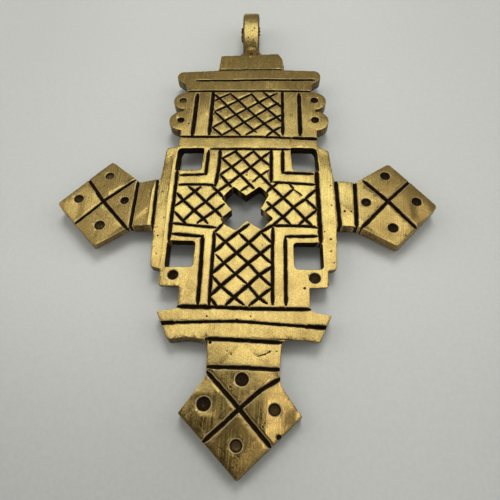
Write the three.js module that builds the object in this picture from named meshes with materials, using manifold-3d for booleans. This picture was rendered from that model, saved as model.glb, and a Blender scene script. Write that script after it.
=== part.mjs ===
// Pendant cross: a flat brass casting, cut through and carved on its face, that hangs from a strap loop.
// Millimetres. X runs to the right arm, Y from the tip of the foot up to the loop, Z out of the carved face.
// Heights are measured from the line through the middle of both arms, depths from the middle of the plate.
import * as THREE from 'three';
import { mergeVertices } from 'three/addons/utils/BufferGeometryUtils.js';
import Module from 'manifold-3d';

const wasm = await Module();
wasm.setup();

// Plate
const PLATE_THICKNESS = 2.2;
const EDGE_WEAR = 0.22;
const CURVE_STEPS = 5;
const MERGE_DISTANCE = 1e-4;

// Reach of the arms, of the head up to its top edge, and of the foot down to its tip
const ARM_REACH = 35.3;
const HEAD_REACH = 40.7;
const FOOT_REACH = 46.5;

// Arms
const ARM_NECK_HALF_HEIGHT = 5.1;
const ARM_NECK_LENGTH = 4.2;
const ARM_LOZENGE_HALF_HEIGHT = 9.2;
const ARM_LOZENGE_INNER_LENGTH = 6.1;
const LOZENGE_CORNER = 0.9;

// Side rails, which bulge a little where the arms leave them
const RAIL_WIDTH = 2.5;
const RAIL_BULGE = 0.5;
const RAIL_UP = 12.9;
const RAIL_DOWN = 13.8;
const SHOULDER_RISE = 0.7;
const SMALL_CORNER = 0.5;

// Head: plain band, carved panel between two pairs of lobes, frieze, cornice and cap block
const HEAD_HALF_WIDTH = 13.6;
const BAND_START = 13.2;
const BAND_HEIGHT = 3.3;
const FRIEZE_HEIGHT = 3.2;
const FRIEZE_INSET = 0.2;
const CORNICE_HEIGHT = 3.2;
const CORNICE_OVERHANG = 2;
const CORNICE_END_RADIUS = 1.5;
const CORNICE_DROP = 1.6;
const CAP_HEIGHT = 5;
const CAP_HALF_WIDTH = 6.8;
const LOBE_SPACING_SHARE = 0.453;
const LOBE_RADIUS_SHARE = 0.422;
const LOBE_FIRST_SHARE = 0.76;

// Foot: tabs below the rails, waist, splayed base, stem and lozenge
const TAB_OVERHANG = 0.8;
const TAB_HEIGHT = 3.1;
const WAIST_HALF_WIDTH = 11;
const WAIST_HEIGHT = 3.7;
const BASE_TOP_HALF_WIDTH = 14.2;
const BASE_BOTTOM_HALF_WIDTH = 12.1;
const BASE_HEIGHT = 5;
const BASE_CORNER_DROP = 0.8;
const STEM_TOP_HALF_WIDTH = 6;
const STEM_BOTTOM_HALF_WIDTH = 5.6;
const STEM_SHARE = 0.27;
const FOOT_HALF_WIDTH = 9.05;
const FOOT_NECK_SHARE = 0.28;

// Openings through the plate
const WINDOW_NEAR = 8.05;
const WINDOW_SIZE = 5.1;
const WINDOW_CORNER = 0.9;
const PIERCING_BAR_WIDTH = 3.5;
const PIERCING_BAR_LENGTH = 10.4;
const PIERCING_DROP = 1;

// Carving
const GROOVE_WIDTH = 0.75;
const GROOVE_DEPTH = 0.5;
const LATTICE_PITCH = 4.2;
const HEAD_LATTICE_PITCH = 3.95;
const COLUMN_HALF_WIDTH = 5.2;
const HEAD_LATTICE_HALF_WIDTH = 7.4;
const HEAD_OUTER_GROOVE_INSET = 2.7;
const SIDE_PANEL_HALF_HEIGHT = 4.7;
const WINDOW_FRAME_WIDTH = 1.45;
const GROOVE_MARGIN = 0.4;
const DOT_RADIUS = 0.95;
const DOT_DEPTH = 0.55;
const ARM_DOT_OUT = 5.2;
const ARM_DOT_IN = 3.8;
const ARM_DOT_SIDE = 5.6;
const FOOT_DOT_UP = 4.7;
const FOOT_DOT_SIDE = 5.4;
const FOOT_DOT_DOWN = 4.8;
const TAB_DOT_INSET = 2.3;
const TAB_DOT_DROP = 1.2;

// Loop and the braze that holds it on the cap block
const LOOP_LENGTH = 13;
const LOOP_HEIGHT = 6;
const LOOP_WIDTH = 3.4;
const LOOP_STRAP = 1.3;
const LOOP_SEAT_CUT = 0.35;
const BRAZE_LENGTH = 2.5;
const BRAZE_ROOT_WIDTH = 5.2;
const BRAZE_HEIGHT = 1.9;
const BRAZE_EDGE = 0.2;

// Widths and heights that follow from the sizes above
const FACE = PLATE_THICKNESS / 2;
const railHalfWidth = HEAD_HALF_WIDTH + RAIL_WIDTH;
const friezeHalfWidth = HEAD_HALF_WIDTH - FRIEZE_INSET;
const corniceHalfWidth = HEAD_HALF_WIDTH + CORNICE_OVERHANG;
const tabHalfWidth = HEAD_HALF_WIDTH + TAB_OVERHANG;
const headOuterGrooveX = HEAD_HALF_WIDTH - HEAD_OUTER_GROOVE_INSET;
const panelBottom = BAND_START + BAND_HEIGHT;
const capTop = HEAD_REACH;
const corniceTop = capTop - CAP_HEIGHT;
const friezeTop = corniceTop - CORNICE_HEIGHT;
const panelTop = friezeTop - FRIEZE_HEIGHT;
const lobeSpacing = (panelTop - panelBottom) * LOBE_SPACING_SHARE;
const lobeRadius = lobeSpacing * LOBE_RADIUS_SHARE;
const lowerLobeY = panelBottom + lobeSpacing * LOBE_FIRST_SHARE;
const upperLobeY = lowerLobeY + lobeSpacing;
const tabBottom = -RAIL_DOWN - TAB_HEIGHT;
const waistBottom = tabBottom - WAIST_HEIGHT;
const baseCornerY = waistBottom - BASE_CORNER_DROP;
const baseBottom = baseCornerY - BASE_HEIGHT;
const footTip = -FOOT_REACH;
const footLength = baseBottom - footTip;
const stemBottom = baseBottom - footLength * STEM_SHARE;
const footWideY = stemBottom - footLength * FOOT_NECK_SHARE;
const railBulgeX = railHalfWidth + RAIL_BULGE;
const armNeckEnd = railBulgeX + ARM_NECK_LENGTH;
const armWideX = armNeckEnd + ARM_LOZENGE_INNER_LENGTH;
const windowFar = WINDOW_NEAR + WINDOW_SIZE;
const windowOuterX = HEAD_HALF_WIDTH;
const windowInnerX = windowOuterX - WINDOW_SIZE;
const windowFrameX = windowInnerX - WINDOW_FRAME_WIDTH;
const windowFrameY = WINDOW_NEAR - WINDOW_FRAME_WIDTH;
const loopSeatY = capTop + BRAZE_LENGTH;
const loopCentreY = loopSeatY - LOOP_SEAT_CUT + LOOP_LENGTH / 2;
const loopTop = loopCentreY + LOOP_LENGTH / 2;

// Solids: a geometry becomes a manifold to be cut, and its triangles come back as a geometry
function toSolid(geometry) {
  geometry.deleteAttribute('normal');
  geometry.deleteAttribute('uv');
  const merged = mergeVertices(geometry, MERGE_DISTANCE);
  return new wasm.Manifold(new wasm.Mesh({
    numProp: 3,
    vertProperties: merged.attributes.position.array,
    triVerts: new Uint32Array(merged.index.array),
  }));
}

function toGeometry(solid) {
  const mesh = solid.getMesh();
  const geometry = new THREE.BufferGeometry();
  geometry.setAttribute('position', new THREE.BufferAttribute(mesh.vertProperties, 3));
  geometry.setIndex(new THREE.BufferAttribute(mesh.triVerts, 1));
  return geometry;
}

// A path through corners [x, y, radius]; a corner with a radius is rounded off
function traceCorners(path, corners) {
  corners.forEach(([x, y, radius = 0], i) => {
    const corner = new THREE.Vector2(x, y);
    if (i === 0) {
      path.moveTo(x, y);
      return;
    }
    if (radius === 0 || i === corners.length - 1) {
      path.lineTo(x, y);
      return;
    }
    const before = new THREE.Vector2(...corners[i - 1].slice(0, 2)).sub(corner).setLength(radius).add(corner);
    const after = new THREE.Vector2(...corners[i + 1].slice(0, 2)).sub(corner).setLength(radius).add(corner);
    path.lineTo(before.x, before.y);
    path.quadraticCurveTo(x, y, after.x, after.y);
  });
  return path;
}

// Points of a drawn path without those that fall on the point before
function pointsOf(path) {
  const points = path.getPoints(CURVE_STEPS);
  return points.filter((p, i) => i === 0 || p.distanceTo(points[i - 1]) > MERGE_DISTANCE);
}

// The right half of the outline, from the top of the cap block down to the tip of the foot
function rightOutline() {
  const path = new THREE.Path();
  traceCorners(path, [
    [0, capTop],
    [CAP_HALF_WIDTH, capTop, SMALL_CORNER],
    [CAP_HALF_WIDTH, corniceTop],
    [corniceHalfWidth, corniceTop, CORNICE_END_RADIUS],
    [corniceHalfWidth, friezeTop, CORNICE_END_RADIUS / 2],
    [friezeHalfWidth, friezeTop - CORNICE_DROP],
    [friezeHalfWidth, panelTop],
  ]);
  const quarter = Math.PI / 2;
  for (const y of [upperLobeY, lowerLobeY]) {
    path.lineTo(HEAD_HALF_WIDTH, y + lobeRadius);
    path.absarc(HEAD_HALF_WIDTH, y, lobeRadius, quarter, -quarter, true);
  }
  const lower = traceCorners(new THREE.Path(), [
    [HEAD_HALF_WIDTH, lowerLobeY - lobeRadius],
    [HEAD_HALF_WIDTH, RAIL_UP + SHOULDER_RISE],
    [railHalfWidth, RAIL_UP, SMALL_CORNER],
    [railBulgeX, ARM_NECK_HALF_HEIGHT],
    [armNeckEnd, ARM_NECK_HALF_HEIGHT],
    [armWideX, ARM_LOZENGE_HALF_HEIGHT, LOZENGE_CORNER],
    [ARM_REACH, 0, LOZENGE_CORNER],
    [armWideX, -ARM_LOZENGE_HALF_HEIGHT, LOZENGE_CORNER],
    [armNeckEnd, -ARM_NECK_HALF_HEIGHT],
    [railBulgeX, -ARM_NECK_HALF_HEIGHT],
    [railHalfWidth, -RAIL_DOWN, SMALL_CORNER],
    [tabHalfWidth, -RAIL_DOWN],
    [tabHalfWidth, tabBottom, SMALL_CORNER],
    [WAIST_HALF_WIDTH, tabBottom],
    [WAIST_HALF_WIDTH, waistBottom],
    [BASE_TOP_HALF_WIDTH, baseCornerY],
    [BASE_BOTTOM_HALF_WIDTH, baseBottom, SMALL_CORNER],
    [STEM_TOP_HALF_WIDTH, baseBottom],
    [STEM_BOTTOM_HALF_WIDTH, stemBottom],
    [FOOT_HALF_WIDTH, footWideY, LOZENGE_CORNER / 2],
    [0, footTip],
  ]);
  path.curves.push(...lower.curves);
  return pointsOf(path);
}

function mirrored(points) {
  return points.map((p) => new THREE.Vector2(-p.x, p.y)).reverse();
}

// Four square windows, one in each corner of the body
function windowPaths() {
  const paths = [];
  for (const sx of [-1, 1]) {
    for (const sy of [-1, 1]) {
      const middleX = (windowInnerX + windowOuterX) / 2;
      const window = traceCorners(new THREE.Path(), [
        [sx * middleX, sy * WINDOW_NEAR],
        [sx * windowOuterX, sy * WINDOW_NEAR, WINDOW_CORNER],
        [sx * windowOuterX, sy * windowFar, WINDOW_CORNER],
        [sx * windowInnerX, sy * windowFar, WINDOW_CORNER],
        [sx * windowInnerX, sy * WINDOW_NEAR, WINDOW_CORNER],
        [sx * middleX, sy * WINDOW_NEAR],
      ]);
      paths.push(new THREE.Path(pointsOf(window).slice(0, -1)));
    }
  }
  return paths;
}

// The X-shaped piercing: two crossed bars on the diagonals, taken one arm at a time
function piercingPath() {
  const arm = new THREE.Vector2(PIERCING_BAR_LENGTH / 2, PIERCING_BAR_WIDTH / 2);
  const points = [];
  for (let quarter = 0; quarter < 4; quarter += 1) {
    const turn = Math.PI / 4 + (quarter * Math.PI) / 2;
    for (const [x, y] of [[arm.y, -arm.y], [arm.x, -arm.y], [arm.x, arm.y]]) {
      points.push(new THREE.Vector2(x, y).rotateAround(new THREE.Vector2(), turn));
    }
  }
  points.forEach((p) => { p.y -= PIERCING_DROP; });
  return new THREE.Path(points);
}

function plateBlank() {
  const right = rightOutline();
  const counterClockwise = [...mirrored(right), ...right.slice(1, -1)].reverse();
  const shape = new THREE.Shape(counterClockwise);
  shape.holes = [...windowPaths(), piercingPath()];
  const geometry = new THREE.ExtrudeGeometry(shape, {
    depth: PLATE_THICKNESS - 2 * EDGE_WEAR,
    curveSegments: CURVE_STEPS,
    bevelThickness: EDGE_WEAR,
    bevelSize: EDGE_WEAR,
    bevelOffset: -EDGE_WEAR,
    bevelSegments: 1,
  });
  geometry.translate(0, 0, EDGE_WEAR - FACE);
  return toSolid(geometry);
}

// A V-shaped cutter along a stroke on the face; its sides go on above the face, so the lips are clean
function strokeCutter([x1, y1], [x2, y2]) {
  const section = new THREE.Shape([
    new THREE.Vector2(0, -GROOVE_DEPTH),
    new THREE.Vector2(GROOVE_WIDTH, GROOVE_DEPTH),
    new THREE.Vector2(-GROOVE_WIDTH, GROOVE_DEPTH),
  ]);
  const along = new THREE.Vector3(x2 - x1, y2 - y1, 0);
  const geometry = new THREE.ExtrudeGeometry(section, { depth: along.length(), bevelEnabled: false });
  along.normalize();
  const up = new THREE.Vector3(0, 0, 1);
  const across = new THREE.Vector3().crossVectors(up, along);
  geometry.applyMatrix4(new THREE.Matrix4().makeBasis(across, up, along).setPosition(x1, y1, FACE));
  return toSolid(geometry);
}

// Both diagonals of a lattice inside a panel, with a crossing at the point [cx, cy]
function latticeStrokes([left, right, bottom, top], [cx, cy], pitch) {
  const strokes = [];
  const span = right - left + top - bottom;
  const count = Math.ceil((span + Math.abs(cy) + Math.abs(cx)) / pitch) + 1;
  for (const slope of [-1, 1]) {
    for (let i = -count; i <= count; i += 1) {
      const rise = cy - slope * cx + i * pitch;
      const xs = [(bottom - rise) / slope, (top - rise) / slope].sort((a, b) => a - b);
      const from = Math.max(left, xs[0]);
      const to = Math.min(right, xs[1]);
      if (to - from > GROOVE_WIDTH) {
        strokes.push([[from, slope * from + rise], [to, slope * to + rise]]);
      }
    }
  }
  return strokes;
}

function bothSides(strokes) {
  return strokes.flatMap(([a, b]) => [[a, b], [[-a[0], a[1]], [-b[0], b[1]]]]);
}

// Lines across the head, base and stem, each a groove from edge to edge
function crossLines() {
  const lines = [
    [corniceTop, CAP_HALF_WIDTH],
    [friezeTop, friezeHalfWidth],
    [panelTop, friezeHalfWidth],
    [panelBottom, HEAD_HALF_WIDTH],
    [waistBottom, WAIST_HALF_WIDTH],
    [(baseCornerY + baseBottom) / 2, BASE_TOP_HALF_WIDTH],
    [baseBottom, STEM_TOP_HALF_WIDTH],
    [stemBottom + GROOVE_WIDTH, STEM_TOP_HALF_WIDTH],
  ];
  return [
    ...lines.map(([y, half]) => [[-half, y], [half, y]]),
    [[-windowInnerX, BAND_START], [windowInnerX, BAND_START]],
  ];
}

// Upright lines of the head panel, and the frames round the carved cross and the windows
function panelLines() {
  const upper = SIDE_PANEL_HALF_HEIGHT;
  const lower = -SIDE_PANEL_HALF_HEIGHT;
  const railGroove = windowOuterX - GROOVE_MARGIN / 2;
  return bothSides([
    [[headOuterGrooveX, panelBottom], [headOuterGrooveX, panelTop]],
    [[HEAD_LATTICE_HALF_WIDTH, panelBottom], [HEAD_LATTICE_HALF_WIDTH, panelTop]],
    [[COLUMN_HALF_WIDTH, upper], [COLUMN_HALF_WIDTH, BAND_START]],
    [[COLUMN_HALF_WIDTH, upper], [railGroove, upper]],
    [[COLUMN_HALF_WIDTH, lower], [COLUMN_HALF_WIDTH, waistBottom]],
    [[COLUMN_HALF_WIDTH, lower], [railGroove, lower]],
    [[windowFrameX, windowFrameY], [windowFrameX, BAND_START]],
    [[windowFrameX, windowFrameY], [railGroove - GROOVE_MARGIN, windowFrameY]],
    [[windowFrameX, -windowFrameY], [windowFrameX, waistBottom]],
    [[windowFrameX, -windowFrameY], [railGroove - GROOVE_MARGIN, -windowFrameY]],
    [[railGroove, -WINDOW_NEAR], [railGroove, WINDOW_NEAR]],
    [[railBulgeX + GROOVE_MARGIN, -ARM_NECK_HALF_HEIGHT], [railBulgeX + GROOVE_MARGIN, ARM_NECK_HALF_HEIGHT]],
    [[armNeckEnd, -ARM_NECK_HALF_HEIGHT], [armNeckEnd, ARM_NECK_HALF_HEIGHT]],
  ]);
}

// The X on each lozenge: from the middle of an outer side to the far corner at the neck
function lozengeLines() {
  const armMiddle = [(armWideX + ARM_REACH) / 2, ARM_LOZENGE_HALF_HEIGHT / 2];
  const armLines = bothSides([
    [armMiddle, [armNeckEnd, -ARM_NECK_HALF_HEIGHT]],
    [[armMiddle[0], -armMiddle[1]], [armNeckEnd, ARM_NECK_HALF_HEIGHT]],
  ]);
  const footMiddle = [FOOT_HALF_WIDTH / 2, (footWideY + footTip) / 2];
  return [...armLines, ...bothSides([[footMiddle, [-STEM_BOTTOM_HALF_WIDTH, stemBottom]]])];
}

// Where the two lines of a lozenge cross
function armCrossingX() {
  const outer = (armWideX + ARM_REACH) / 2;
  const share = ARM_NECK_HALF_HEIGHT / (ARM_NECK_HALF_HEIGHT + ARM_LOZENGE_HALF_HEIGHT / 2);
  return armNeckEnd + (outer - armNeckEnd) * share;
}

function footCrossingY() {
  const outer = (footWideY + footTip) / 2;
  const share = STEM_BOTTOM_HALF_WIDTH / (STEM_BOTTOM_HALF_WIDTH + FOOT_HALF_WIDTH / 2);
  return stemBottom + (outer - stemBottom) * share;
}

function dotCentres() {
  const armX = armCrossingX();
  const footY = footCrossingY();
  const right = [
    [HEAD_HALF_WIDTH, upperLobeY],
    [HEAD_HALF_WIDTH, lowerLobeY],
    [tabHalfWidth - TAB_DOT_INSET, -RAIL_DOWN - TAB_DOT_DROP],
    [armX + ARM_DOT_OUT, 0],
    [armX - ARM_DOT_IN, 0],
    [armX, ARM_DOT_SIDE],
    [armX, -ARM_DOT_SIDE],
    [FOOT_DOT_SIDE, footY],
  ];
  const left = right.map(([x, y]) => [-x, y]);
  return [...right, ...left, [0, footY + FOOT_DOT_UP], [0, footY - FOOT_DOT_DOWN]];
}

// A punched dot: a shallow tapered pit with a flat bottom
function dotCutter([x, y]) {
  const bottomRadius = DOT_RADIUS * 0.7;
  const topRadius = DOT_RADIUS * 1.3;
  const geometry = new THREE.CylinderGeometry(topRadius, bottomRadius, 2 * DOT_DEPTH, 14);
  geometry.rotateX(Math.PI / 2);
  geometry.translate(x, y, FACE);
  return toSolid(geometry);
}

function carving() {
  const centre = [0, -PIERCING_DROP + LATTICE_PITCH / 2];
  const sideX = windowOuterX - GROOVE_MARGIN / 2;
  const headMiddle = [0, (panelBottom + panelTop) / 2];
  const headPanel = [-HEAD_LATTICE_HALF_WIDTH, HEAD_LATTICE_HALF_WIDTH, panelBottom, panelTop];
  const column = [-COLUMN_HALF_WIDTH, COLUMN_HALF_WIDTH, waistBottom, BAND_START];
  const sidePanel = [COLUMN_HALF_WIDTH, sideX, -SIDE_PANEL_HALF_HEIGHT, SIDE_PANEL_HALF_HEIGHT];
  const strokes = [
    ...latticeStrokes(headPanel, headMiddle, HEAD_LATTICE_PITCH),
    ...latticeStrokes(column, centre, LATTICE_PITCH),
    ...bothSides(latticeStrokes(sidePanel, centre, LATTICE_PITCH)),
    ...crossLines(),
    ...panelLines(),
    ...lozengeLines(),
  ];
  const cutters = [...strokes.map(([a, b]) => strokeCutter(a, b)), ...dotCentres().map(dotCutter)];
  return cutters.reduce((all, cutter) => all.add(cutter));
}

function crossCasting() {
  return toGeometry(plateBlank().subtract(carving()));
}

// The loop is a strap bent to a long ring, with a small flat filed where it meets the braze
function suspensionLoop() {
  const half = new THREE.Vector2(LOOP_LENGTH / 2, LOOP_HEIGHT / 2);
  const seatX = -half.x + LOOP_SEAT_CUT;
  const seatAngle = Math.acos(seatX / half.x);
  const shape = new THREE.Shape();
  shape.absellipse(0, 0, half.x, half.y, -seatAngle, seatAngle, false, 0);
  shape.closePath();
  const eye = new THREE.Path();
  eye.absellipse(0, 0, half.x - LOOP_STRAP, half.y - LOOP_STRAP, 0, 2 * Math.PI, true, 0);
  shape.holes = [eye];
  const edge = EDGE_WEAR;
  const geometry = new THREE.ExtrudeGeometry(shape, {
    depth: LOOP_WIDTH - 2 * edge,
    curveSegments: 16,
    bevelThickness: edge,
    bevelSize: edge,
    bevelOffset: -edge,
    bevelSegments: 1,
  });
  geometry.translate(0, 0, edge - LOOP_WIDTH / 2);
  const lengthwise = new THREE.Vector3(0, 1, 0);
  const upright = new THREE.Vector3(0, 0, 1);
  const sideways = new THREE.Vector3(1, 0, 0);
  geometry.applyMatrix4(new THREE.Matrix4().makeBasis(lengthwise, upright, sideways));
  geometry.translate(0, loopCentreY, 0);
  return toGeometry(toSolid(geometry));
}

// The braze flares from the flat of the loop down to the edge of the cap block
function brazeJoint() {
  const topHalf = LOOP_WIDTH / 2 - BRAZE_EDGE;
  const rootHalf = BRAZE_ROOT_WIDTH / 2;
  const shape = new THREE.Shape();
  shape.moveTo(-rootHalf, capTop);
  shape.lineTo(rootHalf, capTop);
  shape.quadraticCurveTo(topHalf, capTop + BRAZE_EDGE, topHalf, loopSeatY - BRAZE_EDGE);
  shape.lineTo(topHalf, loopSeatY);
  shape.lineTo(-topHalf, loopSeatY);
  shape.lineTo(-topHalf, loopSeatY - BRAZE_EDGE);
  shape.quadraticCurveTo(-topHalf, capTop + BRAZE_EDGE, -rootHalf, capTop);
  const geometry = new THREE.ExtrudeGeometry(shape, {
    depth: BRAZE_HEIGHT, curveSegments: CURVE_STEPS, bevelEnabled: false,
  });
  geometry.translate(0, 0, -BRAZE_HEIGHT / 2);
  return toGeometry(toSolid(geometry));
}

function piece(name, geometry, color, roughness) {
  const material = new THREE.MeshStandardMaterial({ color, roughness, metalness: 1 });
  const mesh = new THREE.Mesh(geometry, material);
  mesh.name = name;
  return mesh;
}

const cross = new THREE.Group();
cross.add(piece('cross_casting', crossCasting(), 0xb8924a, 0.38));
cross.add(piece('braze_joint', brazeJoint(), 0x6b5228, 0.6));
cross.add(piece('suspension_loop', suspensionLoop(), 0xb08a42, 0.42));

// The origin is under the middle of the whole length, at the height of the lowest side of the loop
cross.position.set(0, -(loopTop + footTip) / 2, LOOP_HEIGHT / 2);

const lengthAll = loopTop - footTip;
console.log(`length ${lengthAll.toFixed(1)} mm, span ${(2 * ARM_REACH).toFixed(1)} mm`);

export default cross;
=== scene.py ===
# %% [markdown]
# # A carved brass pendant cross
# This lesson dresses a plain model of a cast pendant cross until it looks like the worn brass one.
# The cross is a flat plate, pierced by five openings, with a lattice of V-cuts on its face and a strap loop
# brazed above its head. The plain model fixes the size and the place of every piece. Here each of its three
# pieces gets a finer double: drawn outlines, cuts that follow the graver's strokes, and aged metal.

# %% Set-up
import math
from functools import partial

import bmesh
import bpy
import numpy as np
from mathutils import Matrix, Vector


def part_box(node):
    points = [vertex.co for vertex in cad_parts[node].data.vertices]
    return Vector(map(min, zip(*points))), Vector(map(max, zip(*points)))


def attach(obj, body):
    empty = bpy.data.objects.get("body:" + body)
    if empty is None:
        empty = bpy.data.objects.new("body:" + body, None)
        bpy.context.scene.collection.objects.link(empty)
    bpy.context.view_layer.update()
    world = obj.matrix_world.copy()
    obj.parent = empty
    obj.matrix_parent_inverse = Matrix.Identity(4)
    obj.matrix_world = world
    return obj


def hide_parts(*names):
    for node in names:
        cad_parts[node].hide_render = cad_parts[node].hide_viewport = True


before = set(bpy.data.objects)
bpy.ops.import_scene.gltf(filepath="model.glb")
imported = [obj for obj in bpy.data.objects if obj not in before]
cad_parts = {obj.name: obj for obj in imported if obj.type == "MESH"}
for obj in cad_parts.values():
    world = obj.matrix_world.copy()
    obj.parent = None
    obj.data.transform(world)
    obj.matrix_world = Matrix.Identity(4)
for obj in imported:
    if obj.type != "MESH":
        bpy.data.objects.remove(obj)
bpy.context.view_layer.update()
MM = 0.001
PLATE_LOW, PLATE_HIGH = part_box("cross_casting")
LOOP_LOW, LOOP_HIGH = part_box("suspension_loop")
FACE, BACK = PLATE_HIGH.z, PLATE_LOW.z
# From the foot's tip to the middle line of the arms
FOOT_REACH = 46.5
ARM_LINE = PLATE_LOW.y + FOOT_REACH * MM
print("plate", PLATE_LOW, PLATE_HIGH, "arm line", ARM_LINE)


def at(x, y, z=0.0):
    """A point in metres from millimetres across, millimetres above the arms' middle line, and a height in metres."""
    return Vector((x * MM, ARM_LINE + y * MM, z))


# %% [markdown]
# ## The camera
# The cross was looked at from above its foot, 61 degrees down and with the camera held a little askew.
# A camera is easiest to place by its own three axes: right, up, and backwards. They are written here as the
# columns of its matrix, first level, then turned to the cross, then rolled.

# %% Camera
CAMERA_DOWN = math.radians(61)
CAMERA_ROLL = math.radians(-2)
CAMERA_YAW = math.radians(2.845)
FOCAL_SHARE = 480 / 500
CAMERA_SPOT = (2.99, -50.74)
CAMERA_HEIGHT = 73.89 * MM
SENSOR = 36


def make_camera():
    """The camera over the foot, with its axes as the columns of its matrix."""
    data = bpy.data.cameras.new("camera")
    data.sensor_width = SENSOR
    data.lens = SENSOR * FOCAL_SHARE
    data.clip_start = MM
    camera = bpy.data.objects.new("camera", data)
    bpy.context.scene.collection.objects.link(camera)
    turn = Matrix.Rotation(CAMERA_YAW, 3, "Z")
    right = turn @ Vector((1, 0, 0))
    up = turn @ Vector((0, math.sin(CAMERA_DOWN), math.cos(CAMERA_DOWN)))
    ahead = turn @ Vector((0, math.cos(CAMERA_DOWN), -math.sin(CAMERA_DOWN)))
    c, s = math.cos(CAMERA_ROLL), math.sin(CAMERA_ROLL)
    axes = Matrix((c * right + s * up, -s * right + c * up, -ahead)).transposed()
    place = at(*CAMERA_SPOT, FACE + CAMERA_HEIGHT)
    camera.matrix_world = Matrix.Translation(place) @ axes.to_4x4()
    bpy.context.scene.camera = camera
    return camera


camera = make_camera()
print("camera at", tuple(round(v, 4) for v in camera.matrix_world.translation))

# %% [markdown]
# ## Small helpers
# Shader trees and geometry trees are wired alike. A few short helpers keep the wiring readable: they write a
# value or a link on a socket, add a node, do arithmetic, map a range smoothly and lay out a group with named
# sockets. Arithmetic finds its tree by the sockets among its values. The others make plain meshes, write numbers
# on their points and turn modifiers into mesh.


# %% Node helpers
def feed(socket, value):
    """Links an output to a socket, or writes a plain value on it."""
    if isinstance(value, bpy.types.NodeSocket):
        socket.id_data.links.new(value, socket)
    else:
        socket.default_value = value


def add(tree, kind, feeds=None, **settings):
    """Adds a node with its settings and what its inputs are fed."""
    made = tree.nodes.new(kind)
    for name, value in settings.items():
        setattr(made, name, value)
    for key, value in (feeds or {}).items():
        feed(made.inputs[key], value)
    return made


def make(tree, kind, feeds=None, **settings):
    """Adds a node and gives its first output."""
    return add(tree, kind, feeds, **settings).outputs[0]


def calc(operation, *values, clamp=False):
    """One step of arithmetic, in the tree of whichever value is a socket."""
    tree = next(value.id_data for value in values if isinstance(value, bpy.types.NodeSocket))
    return make(tree, "ShaderNodeMath", dict(enumerate(values)), operation=operation, use_clamp=clamp)


plus, minus, times, over = (partial(calc, name) for name in ("ADD", "SUBTRACT", "MULTIPLY", "DIVIDE"))
most, least, above = (partial(calc, name) for name in ("MAXIMUM", "MINIMUM", "GREATER_THAN"))


def ease(value, low, high, start=0.0, end=1.0):
    """Goes smoothly from start to end while value goes from low to high."""
    feeds = {0: value, 1: low, 2: high, 3: start, 4: end}
    return make(value.id_data, "ShaderNodeMapRange", feeds, interpolation_type="SMOOTHSTEP")


def noise_at(spot, scale, detail):
    """Soft noise from 0 to 1."""
    feeds = {"Vector": spot, "Scale": scale, "Detail": detail}
    return add(spot.id_data, "ShaderNodeTexNoise", feeds).outputs["Fac"]


def split(vector):
    """The three numbers of a vector or a colour."""
    return add(vector.id_data, "ShaderNodeSeparateXYZ", {0: vector}).outputs


def new_group(kind, name, inputs, outputs):
    """A node group with named sockets; inputs are (name, type, default)."""
    tree = bpy.data.node_groups.new(name, kind)
    for label, socket_type, default in inputs:
        socket = tree.interface.new_socket(label, in_out="INPUT", socket_type=f"NodeSocket{socket_type}")
        if default is not None:
            socket.default_value = default
    for label, socket_type in outputs:
        tree.interface.new_socket(label, in_out="OUTPUT", socket_type=f"NodeSocket{socket_type}")
    return tree, tree.nodes.new("NodeGroupInput").outputs, tree.nodes.new("NodeGroupOutput").inputs


def finish_tree(tree, result, geometry, material):
    """Ends a geometry tree: what it repeats becomes real, and the material is set."""
    real = make(tree, "GeometryNodeRealizeInstances", {"Geometry": geometry})
    feed(result[0], make(tree, "GeometryNodeSetMaterial", {"Geometry": real, "Material": material}))
    return tree


def bake_modifiers(obj):
    """Turns the object with its modifiers into a plain mesh."""
    bpy.context.view_layer.update()
    graph = bpy.context.evaluated_depsgraph_get()
    mesh = bpy.data.meshes.new_from_object(obj.evaluated_get(graph), preserve_all_data_layers=True, depsgraph=graph)
    obj.modifiers.clear()
    obj.data = mesh
    return obj


def run_tree(obj, tree, values):
    """Runs a geometry tree on an object, with its inputs set by the identifiers of their sockets."""
    modifier = obj.modifiers.new(tree.name, "NODES")
    modifier.node_group = tree
    names = {s.name: s.identifier for s in tree.interface.items_tree if s.in_out == "INPUT"}
    for name, value in values.items():
        modifier[names[name]] = value
    return bake_modifiers(obj)


def new_object(name, data):
    made = bpy.data.objects.new(name, data)
    bpy.context.scene.collection.objects.link(made)
    return made


def mesh_object(name, places, edges=(), faces=()):
    mesh = bpy.data.meshes.new(name)
    mesh.from_pydata(places, edges, faces)
    return new_object(name, mesh)


def write_on(mesh, name, values):
    """Stores a number on every point of a mesh."""
    mesh.attributes.new(name, "FLOAT", "POINT").data.foreach_set("value", values)


def even_faces(obj, size):
    """Rebuilds the mesh with small faces of one size."""
    remesh = obj.modifiers.new("even_faces", "REMESH")
    remesh.mode = "VOXEL"
    remesh.voxel_size = size
    return bake_modifiers(obj)


def points_of(mesh):
    """All corner points of a mesh as rows of x, y, z."""
    co = np.zeros(len(mesh.vertices) * 3)
    mesh.vertices.foreach_get("co", co)
    return co.reshape(-1, 3)


def move_points(mesh, co):
    mesh.vertices.foreach_set("co", co.ravel())
    mesh.update()


def in_millimetres(co):
    """Millimetres across and above the arms' middle line, as at() takes them."""
    return co[:, 0] / MM, (co[:, 1] - ARM_LINE) / MM


def ramp(values, low, high):
    """Goes smoothly from 0 to 1 while values go from low to high."""
    t = np.clip((values - low) / (high - low), 0, 1)
    return t * t * (3 - 2 * t)


# %% [markdown]
# ## The outline
# The plate was cast and filed by hand, so its left and right halves are not quite alike. Its outline is
# written as corners, each with the radius that the file left on it, in millimetres from the arms' middle line.
# The four lobes of the head are arcs. A curve would do as well, but corners and radii are easier to correct.

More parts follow.
